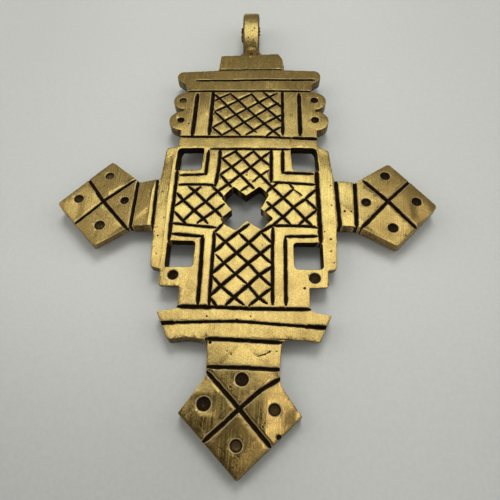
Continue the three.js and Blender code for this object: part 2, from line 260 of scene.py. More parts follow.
# %% Outline of the plate
# Corners: across, above the arms' middle line, and the radius left by the file
CAP_AND_RIGHT = [
    (-6.5, 40.45, 0.3), (-2, 40.65, 0), (6.4, 41.2, 0.35), (7.3, 39.5, 0.5), (7.45, 35.85, 0),
    (14.85, 35.6, 0.8), (15.7, 34.3, 0.8), (15.4, 32.8, 0.6), (13.6, 31.5, 0.3), (13.25, 29, 0),
]
RIGHT_SIDE = [
    (14, 18, 0.3), (14, 14.1, 0.3), (14.8, 13.4, 0.3), (16.15, 12.7, 0.5), (16.3, 9.5, 0), (16.65, 5.55, 0),
    (17.1, 5.45, 0), (20.7, 5, 0.2), (27.5, 9.6, 0.7), (35.35, -0.3, 0.8), (27.1, -8.9, 0.7), (20.5, -4.9, 0.2),
    (17, -4.65, 0), (16.6, -4.6, 0), (16.4, -6.5, 0), (16, -13.5, 0.5), (14.5, -13.75, 0.2),
    (14.4, -16.95, 0.4), (11.15, -17.1, 0.1), (11.1, -20.7, 0.2), (11.7, -21.45, 0.3), (14.55, -21.95, 0.2),
    (12.3, -26.6, 0.6), (9.6, -26.1, 0.8), (6.4, -26.35, 0), (5.95, -31.5, 0.2), (6.15, -33.4, 0.5),
    (9.25, -37.8, 0.12), (-0.3, -46.6, 0.3),
]
LEFT_SIDE = [
    (-9.3, -37.6, 0.12), (-5.4, -32, 0.4), (-5.55, -26.3, 0), (-9, -25.9, 0.8), (-12, -26.35, 0.6),
    (-14.3, -21.5, 0.15), (-11.2, -21, 0.2), (-10.9, -20.5, 0.2), (-10.9, -17, 0.1), (-14.5, -16.9, 0.35),
    (-14.5, -13.7, 0.2), (-16.35, -13.3, 0.4), (-16.6, -6.5, 0), (-16.7, -4.85, 0), (-20.8, -5, 0.2),
    (-26.85, -9.3, 0.6), (-35.2, -0.35, 0.55), (-26.5, 9.85, 0.7), (-20.4, 4.85, 0.2), (-16.85, 5.65, 0),
    (-16.55, 5.8, 0), (-16.2, 12.6, 0.2), (-15.9, 13.3, 0.2), (-13.9, 13.75, 0.2), (-13.75, 18, 0.3),
]
LEFT_TOP = [
    (-13.3, 29, 0), (-13.8, 31.4, 0.3), (-14.9, 32.2, 0.5), (-15.85, 33.1, 0.6), (-15.8, 34.3, 0.6),
    (-15.15, 35.15, 0.4), (-6.85, 35.75, 0),
]
# Lobes: middle and radius
LOBES_RIGHT = [(13.9, 26.4, 2.45), (14, 20.8, 2.6)]
LOBES_LEFT = [(-13.8, 20.8, 2.6), (-13.6, 26.4, 2.35)]
OPENINGS = [
    [(-13.8, 13.35, 1), (-8.6, 13.4, 0.35), (-8.95, 7.95, 0.45), (-14, 7.85, 0.25)],
    [(8.6, 13.5, 0.3), (13.75, 13.45, 1.1), (14, 7.6, 0.35), (8.9, 7.75, 0.8)],
    [(-13.8, -8, 0.5), (-8.85, -8.1, 0.7), (-8.95, -13.25, 0.7), (-13.85, -13.3, 0.4)],
    [(8.65, -8.3, 0.7), (13.75, -8.2, 0.5), (13.8, -13.55, 0.9), (8.7, -13.6, 0.9)],
    [(0, 1.85, 0.15), (2.55, 4, 0.35), (4.3, 2.1, 0.35), (2.75, -1.05, 0.1), (5.1, -3.2, 0.35), (2.9, -5.6, 0.2),
     (0.25, -3.75, 0.1), (-1.75, -5.8, 0.35), (-4, -4.4, 0.3), (-4.6, -3.3, 0.3), (-2.55, -1.35, 0.1),
     (-4.6, 1.2, 0.35), (-2.45, 3.95, 0.35)],
]
ARC_STEPS = 5
LOBE_STEPS = 17


def file_corners(corners):
    """Points of a closed outline whose corners (x, y, radius) are rounded off."""
    points = []
    for i, (x, y, radius) in enumerate(corners):
        corner = Vector((x, y))
        if radius == 0:
            points.append(corner)
            continue
        before = Vector(corners[i - 1][:2]) - corner
        after = Vector(corners[(i + 1) % len(corners)][:2]) - corner
        start, end = corner + before.normalized() * radius, corner + after.normalized() * radius
        for step in range(ARC_STEPS + 1):
            t = step / ARC_STEPS
            points.append((1 - t) ** 2 * start + 2 * t * (1 - t) * corner + t * t * end)
    return points


def lobe(x, y, radius, from_turn, to_turn):
    """Corners along the arc of a lobe."""
    turns = np.radians(np.linspace(from_turn, to_turn, LOBE_STEPS))
    return [(x + radius * math.cos(a), y + radius * math.sin(a), 0) for a in turns]


outline_corners = list(CAP_AND_RIGHT)
for centre in LOBES_RIGHT:
    outline_corners += lobe(*centre, 90, -90)
outline_corners += RIGHT_SIDE + LEFT_SIDE
for centre in LOBES_LEFT:
    outline_corners += lobe(*centre, 270, 90)
outline_corners += LEFT_TOP
rims = [file_corners(outline_corners)] + [file_corners(opening) for opening in OPENINGS]
print("outline of", len(rims[0]), "points and", len(rims) - 1, "openings")

# %% [markdown]
# ## From outline to plate
# A flat curve with several closed splines fills itself and leaves the inner ones open, so it is the shortest
# way to a pierced plate. Its mesh has long thin faces, on which nothing can be carved. A voxel remesh turns it
# into small even faces, and a little smoothing then wears every edge, as years of handling do.

# %% Plate blank
VOXEL = 0.1 * MM
EDGE_WEAR_STEPS = 3
SAME_SPOT = 1e-7


def pierced_plate():
    """The plate with its openings, before carving."""
    curve = bpy.data.curves.new("plate", "CURVE")
    curve.dimensions = "2D"
    curve.fill_mode = "BOTH"
    curve.extrude = (FACE - BACK) / 2
    for rim in rims:
        spline = curve.splines.new("POLY")
        spline.points.add(len(rim) - 1)
        for point, place in zip(spline.points, rim):
            point.co = (*at(*place)[:2], 0, 1)
        spline.use_cyclic_u = True
    drawn = new_object("plate_outline", curve)
    bpy.context.view_layer.update()
    graph = bpy.context.evaluated_depsgraph_get()
    mesh = bpy.data.meshes.new_from_object(drawn.evaluated_get(graph))
    mesh.transform(Matrix.Translation((0, 0, (FACE + BACK) / 2)))
    work = bmesh.new()
    work.from_mesh(mesh)
    bmesh.ops.remove_doubles(work, verts=work.verts, dist=SAME_SPOT)
    bmesh.ops.recalc_face_normals(work, faces=work.faces)
    work.to_mesh(mesh)
    work.free()
    bpy.data.objects.remove(drawn)
    plate = even_faces(new_object("carved_cross", mesh), VOXEL)
    wear = plate.modifiers.new("worn_edges", "SMOOTH")
    wear.iterations = EDGE_WEAR_STEPS
    wear.factor = 0.5
    return bake_modifiers(plate)


cross = pierced_plate()
print("plate blank:", len(cross.data.polygons), "faces")

# %% [markdown]
# ## The graver's strokes
# Each cut is one stroke of a graver, so the carving is written as strokes: a width, then the points that the
# tool went through. Lines cross, stop short and run over as they do on the real face. Written one by one they
# keep the hand in them, which a mirrored pattern would lose.

# %% Strokes of the carving
# Widths of the common strokes; a stroke below is its width and then its points, or the points alone where it is
# one of the lattice's
CUT = 0.76
BROAD = 0.92
FINE = 0.46
LATTICE = 0.64
STROKES = {
    "head frame": [
        (BROAD, (-7.65, 29.2), (-7.75, 23), (-7.85, 17.1)), (CUT, (7.15, 29.2), (7.1, 17)),
        (1, (-11.05, 28.4), (-11.15, 22), (-11.3, 16.9)), (0.94, (10.7, 28.5), (10.65, 16.9)),
        (0.64, (-13.1, 29.2), (-6, 29.3), (4, 29.35), (13.3, 29.25)),
        (0.64, (-13.8, 16.4), (-6, 16.4), (3, 16.35), (9, 16.1)), (BROAD, (9, 16.1), (14.2, 15.85)),
        (0.47, (-6.9, 35.9), (0, 35.95), (7.4, 36)),
        (0.66, (-11.6, 32.5), (-4, 32.6), (6, 32.7), (14.2, 32.8)),
    ],
    "head lattice down": [
        ((-7.5, 28.5), (-6.35, 27.3), (-4.5, 24.9), (-2.6, 22.5), (-0.85, 20.3), (1.2, 18.1), (1.6, 17.7)),
        ((-4, 28.6), (-2.3, 26.7), (-0.3, 24.2), (1.5, 22.1), (3.35, 19.9), (5.15, 18), (6.5, 16.6)),
        ((0.5, 28.6), (2.15, 26), (3.95, 24), (5.85, 21.8), (7.1, 20.2)),
        ((3.1, 29), (4.35, 27.6), (6.1, 25.5), (7, 24.5)),
        ((-7, 23.2), (-4.9, 20.7), (-3.1, 18.5), (-1.6, 16.9)), ((-7.2, 18.8), (-5.3, 16.8)),
    ],
    "head lattice up": [
        ((-7.3, 26.4), (-6.4, 27.1), (-3.9, 28.7)),
        ((-7, 23.4), (-4.5, 24.95), (-2.3, 26.5), (0.6, 28.5)),
        ((-7.3, 18.9), (-4.9, 20.7), (-2.6, 22.5), (-0.3, 24.2), (2.15, 26), (4.35, 27.6), (6, 28.7)),
        ((-5.2, 16.9), (-3.1, 18.5), (-0.85, 20.3), (1.5, 22.15), (3.95, 24.1), (6.3, 25.8)),
        ((-0.3, 17), (1.2, 18.1), (3.35, 20), (5.85, 21.8), (7, 22.5)),
        ((3.9, 16.7), (5.15, 18), (6.9, 19.2)), (FINE, (-7.4, 22.5), (-7, 23.1)),
    ],
    "column frame": [
        (0.59, (-7.3, 13.2), (8.5, 13.15)), (CUT, (-5.4, 13.1), (-5.4, 10), (-5.55, 7.5), (-5.9, 4.1)),
        (CUT, (4.75, 13.1), (4.7, 5.1)), (0.68, (-5.6, -6.2), (-5.5, -8), (-5.6, -12), (-5.65, -20.2)),
        (0.66, (5, -5.2), (4.9, -12), (4.9, -20.1)),
        (BROAD, (-10.8, -20.6), (-5, -20.65)), (CUT, (-5, -20.65), (2, -20.9), (6, -20.85), (11.1, -20.9)),
    ],
    "column lattice above": [
        ((-2.5, 12.7), (-0.85, 10.7), (0.75, 8.6), (2.65, 6.6), (4.85, 3.9)),
        ((1.2, 12.7), (2.65, 10.8), (4.4, 9.1)),
        ((-5, 10.9), (-2.95, 8.6), (-1.25, 6.7), (1.4, 3.6)),
        ((-5.1, 6.7), (-3.4, 4.5), (-2.9, 3.9)), ((-5, 10.7), (-2.4, 12.6), (-1.9, 13.1)),
        ((-5.1, 6.7), (-2.95, 8.6), (-0.85, 10.7), (1.3, 12.7)),
        ((-5.4, 2.8), (-3.4, 4.6), (-1.25, 6.7), (0.75, 8.6), (2.65, 10.7), (4.4, 12.4)),
        (FINE, (1.2, 5.1), (2.65, 6.6), (4.3, 8)), ((-0.9, 3), (0.3, 4.1)),
        ((3.95, 2.7), (4.85, 3.9), (6, 4.8)),
    ],
    "column lattice below": [
        (0.6, (-5.6, -6.3), (-4, -4.3)), (0.74, (-5.3, -10.2), (-3.4, -8.1), (-1.2, -6.1), (0.6, -4.5)),
        (0.74, (-5.4, -14.4), (-3.5, -12.4), (-1.4, -10.4), (0.75, -8.3), (2.9, -6.1), (5, -4.6)),
        (0.74, (-5.4, -18.5), (-3.9, -16.8), (-1.55, -14.6), (0.7, -12.4), (2.8, -10.5), (4.8, -8.7)),
        (0.74, (-2.8, -20.2), (-1.6, -18.9), (0.7, -16.6), (2.6, -14.7), (4.6, -13.2)),
        (0.6, (1, -20.3), (2.6, -18.9), (4.7, -17.1)),
        (0.6, (-5.2, -6.5), (-3.4, -8.2), (-1.4, -10.4), (0.7, -12.4), (2.6, -14.7), (4.8, -16.9)),
        (0.6, (-1, -6.5), (0.75, -8.3), (2.8, -10.5), (4.7, -12.5)), (0.6, (3, -6.3), (4.8, -8.4)),
        (FINE, (-5, -10.8), (-3.6, -12.3), (-1.7, -14.3), (0.6, -16.4)),
        (0.6, (0.6, -16.4), (2.4, -18.7), (3.9, -19.9)),
        (0.6, (-5.3, -15.1), (-3.9, -16.8), (-1.6, -18.8), (0.1, -20.2)), (0.6, (-5.4, -19.1), (-4.3, -20.6)),
    ],
    "left panel": [
        (CUT, (-13.5, 7.8), (-13.6, -7.9)), ((-12.85, 4.35), (-8, 4.4), (-6, 4.2)),
        ((-13.1, -4.35), (-10.8, -4.65), (-8, -4.95), (-5.4, -5.2)),
        ((-11, 3.9), (-9.75, 2.8), (-7.55, 0.4), (-5.6, -1.5), (-4.5, -2.8)),
        ((-13, 2.3), (-11.8, 0.75), (-9.55, -1.5), (-7.7, -3.3), (-6.9, -4.3)),
        ((-13.1, -1.9), (-11.4, -3.8), (-10.8, -4.5)), ((-6.5, 3.9), (-5.2, 2.6), (-4.4, 1.5)),
        ((-13.2, -0.6), (-11.8, 0.7), (-9.75, 2.75), (-8.7, 3.8)),
        ((-11.4, -3.8), (-9.55, -1.5), (-7.55, 0.4), (-5.9, 2.3), (-5.2, 2.7)),
        ((-8.7, -4.2), (-7.7, -3.3), (-5.6, -1.5), (-4.1, -0.1)),
    ],
    "right panel": [
        (BROAD, (13.45, 7.8), (13.5, -8)), ((5.2, 5.05), (8, 4.85), (13.1, 4.45)),
        ((5.2, -4.75), (9, -4.75), (12.2, -4.85), (13, -5.2)),
        ((4.9, 3.8), (6.95, 1.4), (8.85, -0.75), (10.9, -3.3), (12.1, -4.7)),
        ((8.2, 4.5), (8.8, 3.7)),
        (0.35, (9.1, 3.2), (10.5, 2)), ((11.05, 1.2), (13.1, -1.2)),
        ((4, 0.4), (4.85, -0.6), (6.85, -2.85), (8.2, -4.5)),
        ((3.7, -1.6), (4.85, -0.6), (6.95, 1.4), (8.85, 3.4)),
        ((4.9, -4.7), (6.85, -2.9), (8.85, -0.7), (11.05, 1.15), (13.2, 3.4)),
        ((9.7, -4.5), (10.9, -3.3), (13.1, -1.3)),
    ],
    "window frames": [
        (CUT, (-7.7, 12.7), (-7.9, 6.8)), (0.64, (-12.9, 6.6), (-7.9, 6.85)),
        (0.8, (7, 12.8), (6.95, 7.3)), (CUT, (7.1, 7.25), (12.7, 7)),
        (CUT, (-13.1, -6.6), (-7.8, -7.1)), (0.78, (-7.6, -7), (-7.5, -12), (-7.55, -20.1)),
        (0.68, (7.3, -7), (12.8, -6.9)), (0.68, (7.2, -7.3), (7.1, -20.1)),
    ],
    "left arm": [
        (0.66, (-17.1, 5.6), (-17, 0), (-16.9, -5.2)), (0.7, (-20.8, 5.1), (-20.85, 0), (-20.95, -5.4)),
        (CUT, (-30.4, 5.3), (-26.8, 0.4), (-21.5, -5.6)), (0.7, (-21.5, 5.3), (-26.8, 0.35), (-31.3, -4.8)),
    ],
    "right arm": [
        (0.83, (17, 5.6), (17.1, -5)), (0.83, (20.6, 5.2), (20.1, -5)),
        (CUT, (22.3, 5.4), (26.3, 0.8), (30.8, -5.2)), (CUT, (31.1, 5.5), (26.4, 0.8), (21, -5.1)),
    ],
    "foot": [
        (0.86, (-13.9, -23.6), (-10.6, -23.4)),
        (0.58, (-11.2, -23.42), (-8.5, -23.3), (-1, -23.1), (5, -23.5), (10.4, -23.82)),
        (0.84, (9.8, -23.8), (13.9, -24.05)), (0.16, (2.4, -28.95), (3.4, -28.6), (4.7, -28)),
        (0.77, (-5.8, -26.1), (0, -26.3), (6.3, -26.55)), (0.73, (-5.6, -30.6), (0, -30.7), (6.1, -30.9)),
        (0.77, (-5.3, -31.4), (-2.3, -34.5), (-0.1, -36.9), (2.4, -39.7), (4.6, -42.2)),
        (0.77, (6.1, -32.2), (3, -34.1), (0.6, -36.2), (-2.2, -38.8), (-5.3, -41.6)),
    ],
}
CUT_DEPTH_SHARE = 0.7
DEEPEST_CUT = 0.6


def strokes_as_edges():
    """All strokes as chains of edges, each with the width and the depth of its cut."""
    places, edges, widths = [], [], []
    for strokes in STROKES.values():
        for stroke in strokes:
            width, points = (LATTICE, stroke) if isinstance(stroke[0], tuple) else (stroke[0], stroke[1:])
            first = len(places)
            places += [at(*point) for point in points]
            widths += [width * MM] * len(points)
            edges += [(first + i, first + i + 1) for i in range(len(points) - 1)]
    made = mesh_object("strokes", places, edges)
    write_on(made.data, "width", widths)
    write_on(made.data, "depth", [min(w * CUT_DEPTH_SHARE, DEEPEST_CUT * MM) for w in widths])
    return made


strokes = strokes_as_edges()
print(sum(len(s) for s in STROKES.values()), "strokes")

# %% [markdown]
# ## Dots and pits
# Eighteen round dots were punched beside the lines. Each is a cup with a steep wall and a nearly flat bottom,
# some worn light there, some black with old wax and dirt. A second list holds the small pits of the casting.

# %% Punched dots and casting pits
# Dots: middle, radius, and how dark the bottom is; pits: middle and radius
DOTS = [
    (-14, 26.5, 0.84, 0.6), (-14, 20.9, 0.8, 0.97), (13.9, 26.6, 0.86, 0.98), (13.8, 21, 0.86, 1),
    (-12.2, -14.8, 0.95, 0.97), (12.1, -15.2, 1.02, 0.85), (-26.5, 6.3, 0.88, 0.62), (-31.5, 0.9, 0.9, 0.8),
    (-22.8, 0.6, 0.85, 0.97), (-26.6, -4.9, 0.98, 0.8), (26.5, 6.6, 0.98, 0.97), (22.3, 0.5, 0.92, 0.92),
    (31.6, 0.7, 0.98, 1), (26.6, -5, 0.98, 0.97), (0.15, -32.5, 1.08, 1), (-5.5, -36.2, 1.12, 1),
    (5.15, -36.9, 0.96, 0.75), (-0.45, -42, 0.95, 0.72),
]
PITS = [
    (-12.3, 20, 0.16), (9.2, 22.7, 0.12), (18.2, -1.5, 0.2), (19.4, -1.6, 0.16), (15.3, -7.5, 0.18),
    (28.7, -6.6, 0.14), (10.3, -17.1, 0.2), (5.75, -40.75, 0.42), (-2.3, -28.1, 0.1), (-1.7, -28.6, 0.12),
    (5.5, -28, 0.1), (3.7, -28.55, 0.13), (4.4, -28.1, 0.16), (-0.95, -22.8, 0.18), (-5.1, -26.7, 0.24),
    (3.4, -39.4, 0.16), (15.2, -9.9, 0.14), (15.9, -0.2, 0.1), (-15.7, -7, 0.14), (16, 4.3, 0.1),
    (-15.1, 11.2, 0.12), (4.3, 38.8, 0.14), (1.3, -22.2, 0.12), (-5.9, -22.3, 0.13), (15.6, -12.2, 0.1),
    (-15.9, 2.8, 0.1), (-15, -3.1, 0.11), (-15.6, -10.6, 0.1), (24.9, 3.3, 0.1), (3.7, -38.8, 0.12),
]
DOT_DEPTH = 0.55
PIT_DEPTH_SHARE = 0.9


def dots_as_points():
    """The dots and pits as single vertices with radius, depth and darkness."""
    marks = [(x, y, r, DOT_DEPTH, dark) for x, y, r, dark in DOTS]
    marks += [(x, y, r, r * PIT_DEPTH_SHARE, 1.0) for x, y, r in PITS]
    made = mesh_object("dots", [at(x, y) for x, y, *_ in marks])
    for column, name, unit in ((2, "radius", MM), (3, "depth", MM), (4, "dark", 1)):
        write_on(made.data, name, [mark[column] * unit for mark in marks])
    return made


dots = dots_as_points()
print(len(DOTS), "dots and", len(PITS), "pits")

# %% [markdown]
# ## Carving by distance
# A geometry tree does the carving. For every point of the face it asks how far the nearest stroke is, and
# sinks the point by a V that is as wide and deep as that stroke. The strokes are first cut into short steps,
# made to tremble a little and tapered at their ends, where the graver enters and leaves the metal. Booleans
# would cut cleaner, but this face is worn, and a carving by distance gives every cut a slightly fallen lip.

# %% Tree that cuts the strokes and dots into the face
GEOMETRY_IN = ("Geometry", "Geometry", None)


def stroke_lines(tree, given):
    """Short trembling steps along every stroke, with half widths and depths."""
    info = add(tree, "GeometryNodeObjectInfo", {"Object": given["Strokes"]})
    chain = add(tree, "GeometryNodeMeshToCurve", {"Mesh": info.outputs["Geometry"]})
    feeds = {"Curve": chain.outputs[0], "Length": given["Step"]}
    steps = add(tree, "GeometryNodeResampleCurve", feeds, mode="LENGTH")
    shake = add(tree, "ShaderNodeTexNoise", {"Scale": 700.0, "Detail": 1.0}, noise_dimensions="3D")
    centred = add(tree, "ShaderNodeVectorMath", {0: shake.outputs["Color"], 1: (0.5, 0.5, 0.5)}, operation="SUBTRACT")
    flat = add(tree, "ShaderNodeVectorMath", {0: centred.outputs[0], 1: (1, 1, 0)}, operation="MULTIPLY")
    offset = add(tree, "ShaderNodeVectorMath", {0: flat.outputs[0], "Scale": given["Tremble"]}, operation="SCALE")
    moved = add(tree, "GeometryNodeSetPosition", {"Geometry": steps.outputs[0], "Offset": offset.outputs[0]})
    along = add(tree, "GeometryNodeSplineParameter").outputs["Length"]
    whole = add(tree, "GeometryNodeSplineLength").outputs["Length"]
    from_end = least(along, minus(whole, along))
    taper = ease(from_end, 0.0, given["Taper"], 0.55, 1.0)
    pressure = add(tree, "ShaderNodeTexNoise", {"Scale": 900.0, "Detail": 2.0})
    uneven = ease(pressure.outputs["Fac"], 0.25, 0.75, 0.88, 1.12)
    share = times(taper, uneven)
    result = moved.outputs[0]
    for name, factor in (("width", 0.5), ("depth", 1.0)):
        value = make(tree, "GeometryNodeInputNamedAttribute", {"Name": name})
        scaled = times(times(value, share), factor)
        feeds = {"Geometry": result, "Name": "cut_" + name, "Value": scaled}
        result = make(tree, "GeometryNodeStoreNamedAttribute", feeds)
    return make(tree, "GeometryNodeCurveToMesh", {"Curve": result})


def nearest(tree, target, domain, element, spot, names):
    """Distance from spot to the nearest edge or point of target, and that one's named values."""
    near = add(tree, "GeometryNodeProximity", {"Geometry": target, "Sample Position": spot}, target_element=element)
    feeds = {"Geometry": target, "Sample Position": spot}
    index = make(tree, "GeometryNodeSampleNearest", feeds, domain=domain)
    values = []
    for name in names:
        value = make(tree, "GeometryNodeInputNamedAttribute", {"Name": name})
        feeds = {"Geometry": target, "Value": value, "Index": index}
        values.append(make(tree, "GeometryNodeSampleIndex", feeds, domain=domain))
    return [near.outputs["Distance"], *values]


def shares(tree, given):
    """For the point at hand: stroke and dot distances as shares of their half width or radius, and their depths."""
    place = make(tree, "GeometryNodeInputPosition")
    x, y, z = split(place)
    spot = make(tree, "ShaderNodeCombineXYZ", {"X": x, "Y": y})
    lines = stroke_lines(tree, given)
    distance, half, depth = nearest(tree, lines, "EDGE", "EDGES", spot, ("cut_width", "cut_depth"))
    marks = add(tree, "GeometryNodeObjectInfo", {"Object": given["Dots"]}).outputs["Geometry"]
    away, radius, deep, dark = nearest(tree, marks, "POINT", "POINTS", spot, ("radius", "depth", "dark"))
    return {
        "x": x, "y": y, "z": z, "dark": dark, "line_depth": depth, "dot_depth": deep,
        "line": over(distance, half), "line_edge": minus(distance, half),
        "dot": over(away, radius), "dot_edge": minus(away, radius),
    }


CARVING_INPUTS = [
    GEOMETRY_IN, ("Strokes", "Object", None), ("Dots", "Object", None), ("Step", "Float", 0.0003),
    ("Tremble", "Float", 0.00012), ("Taper", "Float", 0.0006), ("Material", "Material", None),
]


def carving_tree():
    inputs = CARVING_INPUTS + [("Face", "Float", 0.0), ("Middle", "Float", 0.0), ("Lip width", "Float", 0.00014),
                               ("Lip drop", "Float", 0.000004)]
    tree, given, result = new_group("GeometryNodeTree", "carve_by_hand", inputs, [("Geometry", "Geometry")])
    s = shares(tree, given)
    groove = minus(1.0, s["line"], clamp=True)
    cup = minus(1.0, calc("POWER", least(s["dot"], 1.0), 3.0))
    height = s["z"]
    for hollow, depth, edge in ((groove, s["line_depth"], s["line_edge"]), (cup, s["dot_depth"], s["dot_edge"])):
        fall = times(ease(edge, 0.0, given["Lip width"], 1.0, 0.0), given["Lip drop"])
        sunk = plus(times(hollow, depth), fall)
        height = least(height, minus(given["Face"], sunk))
    place = make(tree, "ShaderNodeCombineXYZ", {"X": s["x"], "Y": s["y"], "Z": height})
    upper = above(s["z"], given["Middle"])
    feeds = {"Geometry": given["Geometry"], "Selection": upper, "Position": place}
    carved = make(tree, "GeometryNodeSetPosition", feeds)
    smooth = make(tree, "GeometryNodeSetShadeSmooth", {"Geometry": carved})
    return finish_tree(tree, result, smooth, given["Material"])


UNCARVED_SHARE = 0.35
brass = bpy.data.materials.new("worn_brass")
carving = carving_tree()
tools = {"Strokes": strokes, "Dots": dots, "Material": brass}
run_tree(cross, carving, {**tools, "Face": FACE, "Middle": BACK + UNCARVED_SHARE * (FACE - BACK)})
print("carved:", len(cross.data.polygons), "faces")

# %% [markdown]
# ## A face that is not quite flat
# Hammer, file and years of wear leave the plate gently uneven, and that is what makes its shine wander. Four
# things are added by formulas: soft swellings of a few hundredths of a millimetre, fields that a file tilted by
# a degree or two, the quarters between the crossed lines of the lozenges, and edges of the foot that roll off.
# A field ends in a cut wherever it can, so that no step shows. The walls are slanted as well. A sculpted map
# would do too, but a list says which field leans where.

# %% Uneven face
WAVE_SEED, WAVE_COUNT = 11, 7
# Swellings: width and height of the hills
SWELLINGS = [(7, 0.05), (3.1, 0.011), (1.3, 0.003)]
# Rolled edges: a point, the way out, where the roll begins and is full, and its slope; they fade in down the foot
ROLLS = [((0, -36.6), (1, 0), 3, 4.2, 0.065), ((4.45, -42.15), (0.677, -0.735), -2.4, -1.5, 0.055)]
ROLL_FROM, ROLL_TO = -32, -34.5
# Filed fields: middle, half size, degrees of lean to the right and ahead, and the shares of the half size,
# across and ahead, in which the lean is whole
FILED_FIELDS = [
    (-15.6, 5, 1.6, 9, -1.6, 0.4, 0.5, 0.5), (-15.3, -10.5, 1.8, 3.6, 2.2, 0, 0.6, 0.6),
    (15.3, 10, 1.8, 5.2, 0, 1.6, 0.6, 0.15), (15, -1, 1.8, 8.5, -1.2, 0, 0.7, 0.7),
    (0, 14.8, 13, 1.6, 0, 0.95, 0.8, 0.8), (0, 31, 3.6, 1.6, 0, 1, 0.8, 0.8),
    (-18.95, 0, 2, 7, -2.4, 0, 0.92, 0.92), (-17.45, -0.5, 0.5, 5.5, 5, 0, 0.8, 0.8),
    (-14.2, -1, 0.5, 13, 2.6, 0, 0.8, 0.8), (0.2, -28.5, 8, 2.6, 0.4, 1, 0.9, 0.9),
    (-9, -24.75, 6.5, 1.75, 0.6, 1, 0.3, 0.85), (10, -22.3, 5.5, 1.5, -0.6, 0.8, 0.3, 0.85),
    (18.8, 2, 1.9, 3.5, -0.8, -0.8, 0.9, 0.3), (-32.6, -1.3, 2.6, 2.8, 2, 0, 0.4, 0.4),
    (-9, -12, 3, 7, -0.8, 0, 0.5, 0.5), (-5.8, -33.6, 2.6, 2.2, 0, 1.2, 0.3, 0.3),
    (32.6, -1.3, 2.6, 2.8, -2.1, 0, 0.3, 0.3), (-0.4, 9.3, 4.9, 4, 0, 1, 0.9, 0.9),
    (-5, -39.2, 1.8, 2, 0, -1.6, 0.4, 0.4), (7.4, -38, 1.6, 1.8, 2.6, -1.4, 0.4, 0.4),
]
# Lozenges: where their two lines cross, then the leans of the top, right, bottom and left quarters
QUARTERS = [
    ((-26.8, 0.4), (0.4, 1.4), (-0.8, 0), (1.1, 0), (2.4, 0)),
    ((26.35, 0.8), (1.2, 1.2), (2.4, 1), (-0.8, 0), (0.8, 0.6)),
    ((0.3, -36.6), (0, 0.5), (0, 0.6), (0, 0), (0, 0.5)),
]
QUARTER_SLOPE, QUARTER_CENTRE, QUARTER_STEP = 1.12, 4.3, 0.15
LOZENGE_REACH, LOZENGE_FADE = 11.0, 1.5
BEND_FROM, BEND_TO = BACK + 0.1 * MM, FACE - 0.3 * MM


def waves(x, y, width, seed):
    """Smooth hills of about that width, from a few crossed sine waves."""
    random = np.random.default_rng(seed)
    total = np.zeros_like(x)
    for _ in range(WAVE_COUNT):
        turn, shift = random.uniform(0, 2 * math.pi, 2)
        total += np.sin((x * math.cos(turn) + y * math.sin(turn)) * math.pi / width + shift)
    return total / WAVE_COUNT


def fall(dx, dy, lean):
    """How far a flat that leans by some degrees to the right and ahead falls at an offset from its middle."""
    right, ahead = (math.tan(math.radians(angle)) for angle in lean)
    return right * dx + ahead * dy


def unsettle(obj):
    """Bends and dents the plate by its formulas."""
    co = points_of(obj.data)
    x, y = in_millimetres(co)
    upper = ramp(co[:, 2], BEND_FROM, BEND_TO)
    lift = sum(waves(x, y, width, WAVE_SEED + i) * height * 2 for i, (width, height) in enumerate(SWELLINGS))
    for field_x, field_y, half_x, half_y, right, ahead, core_x, core_y in FILED_FIELDS:
        dx, dy = x - field_x, y - field_y
        inside = (1 - ramp(np.abs(dx), core_x * half_x, half_x)) * (1 - ramp(np.abs(dy), core_y * half_y, half_y))
        lift -= fall(dx, dy, (right, ahead)) * inside
    for (cross_x, cross_y), top, right_one, bottom, left_one in QUARTERS:
        dx, dy = x - cross_x, y - cross_y
        inside = 1 - ramp(np.abs(dx) + np.abs(dy), LOZENGE_REACH - LOZENGE_FADE, LOZENGE_REACH)
        steep = ramp(np.abs(dy) - QUARTER_SLOPE * np.abs(dx), -QUARTER_STEP, QUARTER_STEP)
        parts = ((top, 0, 1, steep * (dy > 0)), (bottom, 0, -1, steep * (dy <= 0)),
                 (right_one, 1, 0, (1 - steep) * (dx > 0)), (left_one, -1, 0, (1 - steep) * (dx <= 0)))
        for lean, side_x, side_y, share in parts:
            lift -= fall(dx - QUARTER_CENTRE * side_x, dy - QUARTER_CENTRE * side_y, lean) * share * inside
    lift *= upper
    for (from_x, from_y), (out_x, out_y), begin, full, slope in ROLLS:
        past = np.clip((x - from_x) * out_x + (y - from_y) * out_y - begin, 0, None)
        bend = np.where(past < full - begin, past**2 / (2 * (full - begin)), past - (full - begin) / 2)
        lift -= bend * slope * ramp(-y, -ROLL_FROM, -ROLL_TO) * upper
    co[:, 2] += lift * MM
    move_points(obj.data, co)


# Slanted walls: the edge from end to end, and how far its foot moves across and ahead
WALL_LEANS = [
    ((-14, 7.9), (-13.8, 13.3), (0.55, 0)), ((-13.8, 13.35), (-8.6, 13.4), (0, 0.4)),
    ((14, 7.6), (13.75, 13.4), (-0.35, 0)), ((8.6, 13.5), (13.7, 13.45), (0, 0.35)),
    ((-13.85, -13.3), (-13.8, -8), (0.4, 0)), ((-13.8, -8), (-8.9, -8.1), (0, 0.35)),
    ((13.8, -13.5), (13.75, -8.2), (-0.3, 0)), ((8.7, -8.3), (13.7, -8.2), (0, 0.3)),
    ((-14.5, -16.9), (-10.9, -17), (0, 0.8)), ((11.2, -17.1), (14.4, -16.95), (0, 0.8)),
    ((-16.35, -13.3), (-14.5, -13.7), (0, 0.4)), ((14.5, -13.75), (16, -13.5), (0, 0.5)),
    ((6.4, -26.35), (12.3, -26.6), (0, 0.7)), ((-26.85, -9.3), (-20.9, -5), (-0.3, 0.42)),
    ((7.3, 40.6), (7.45, 36.2), (0.5, 0)), ((-6.5, 40.3), (-6.85, 36), (-0.3, 0)),
]
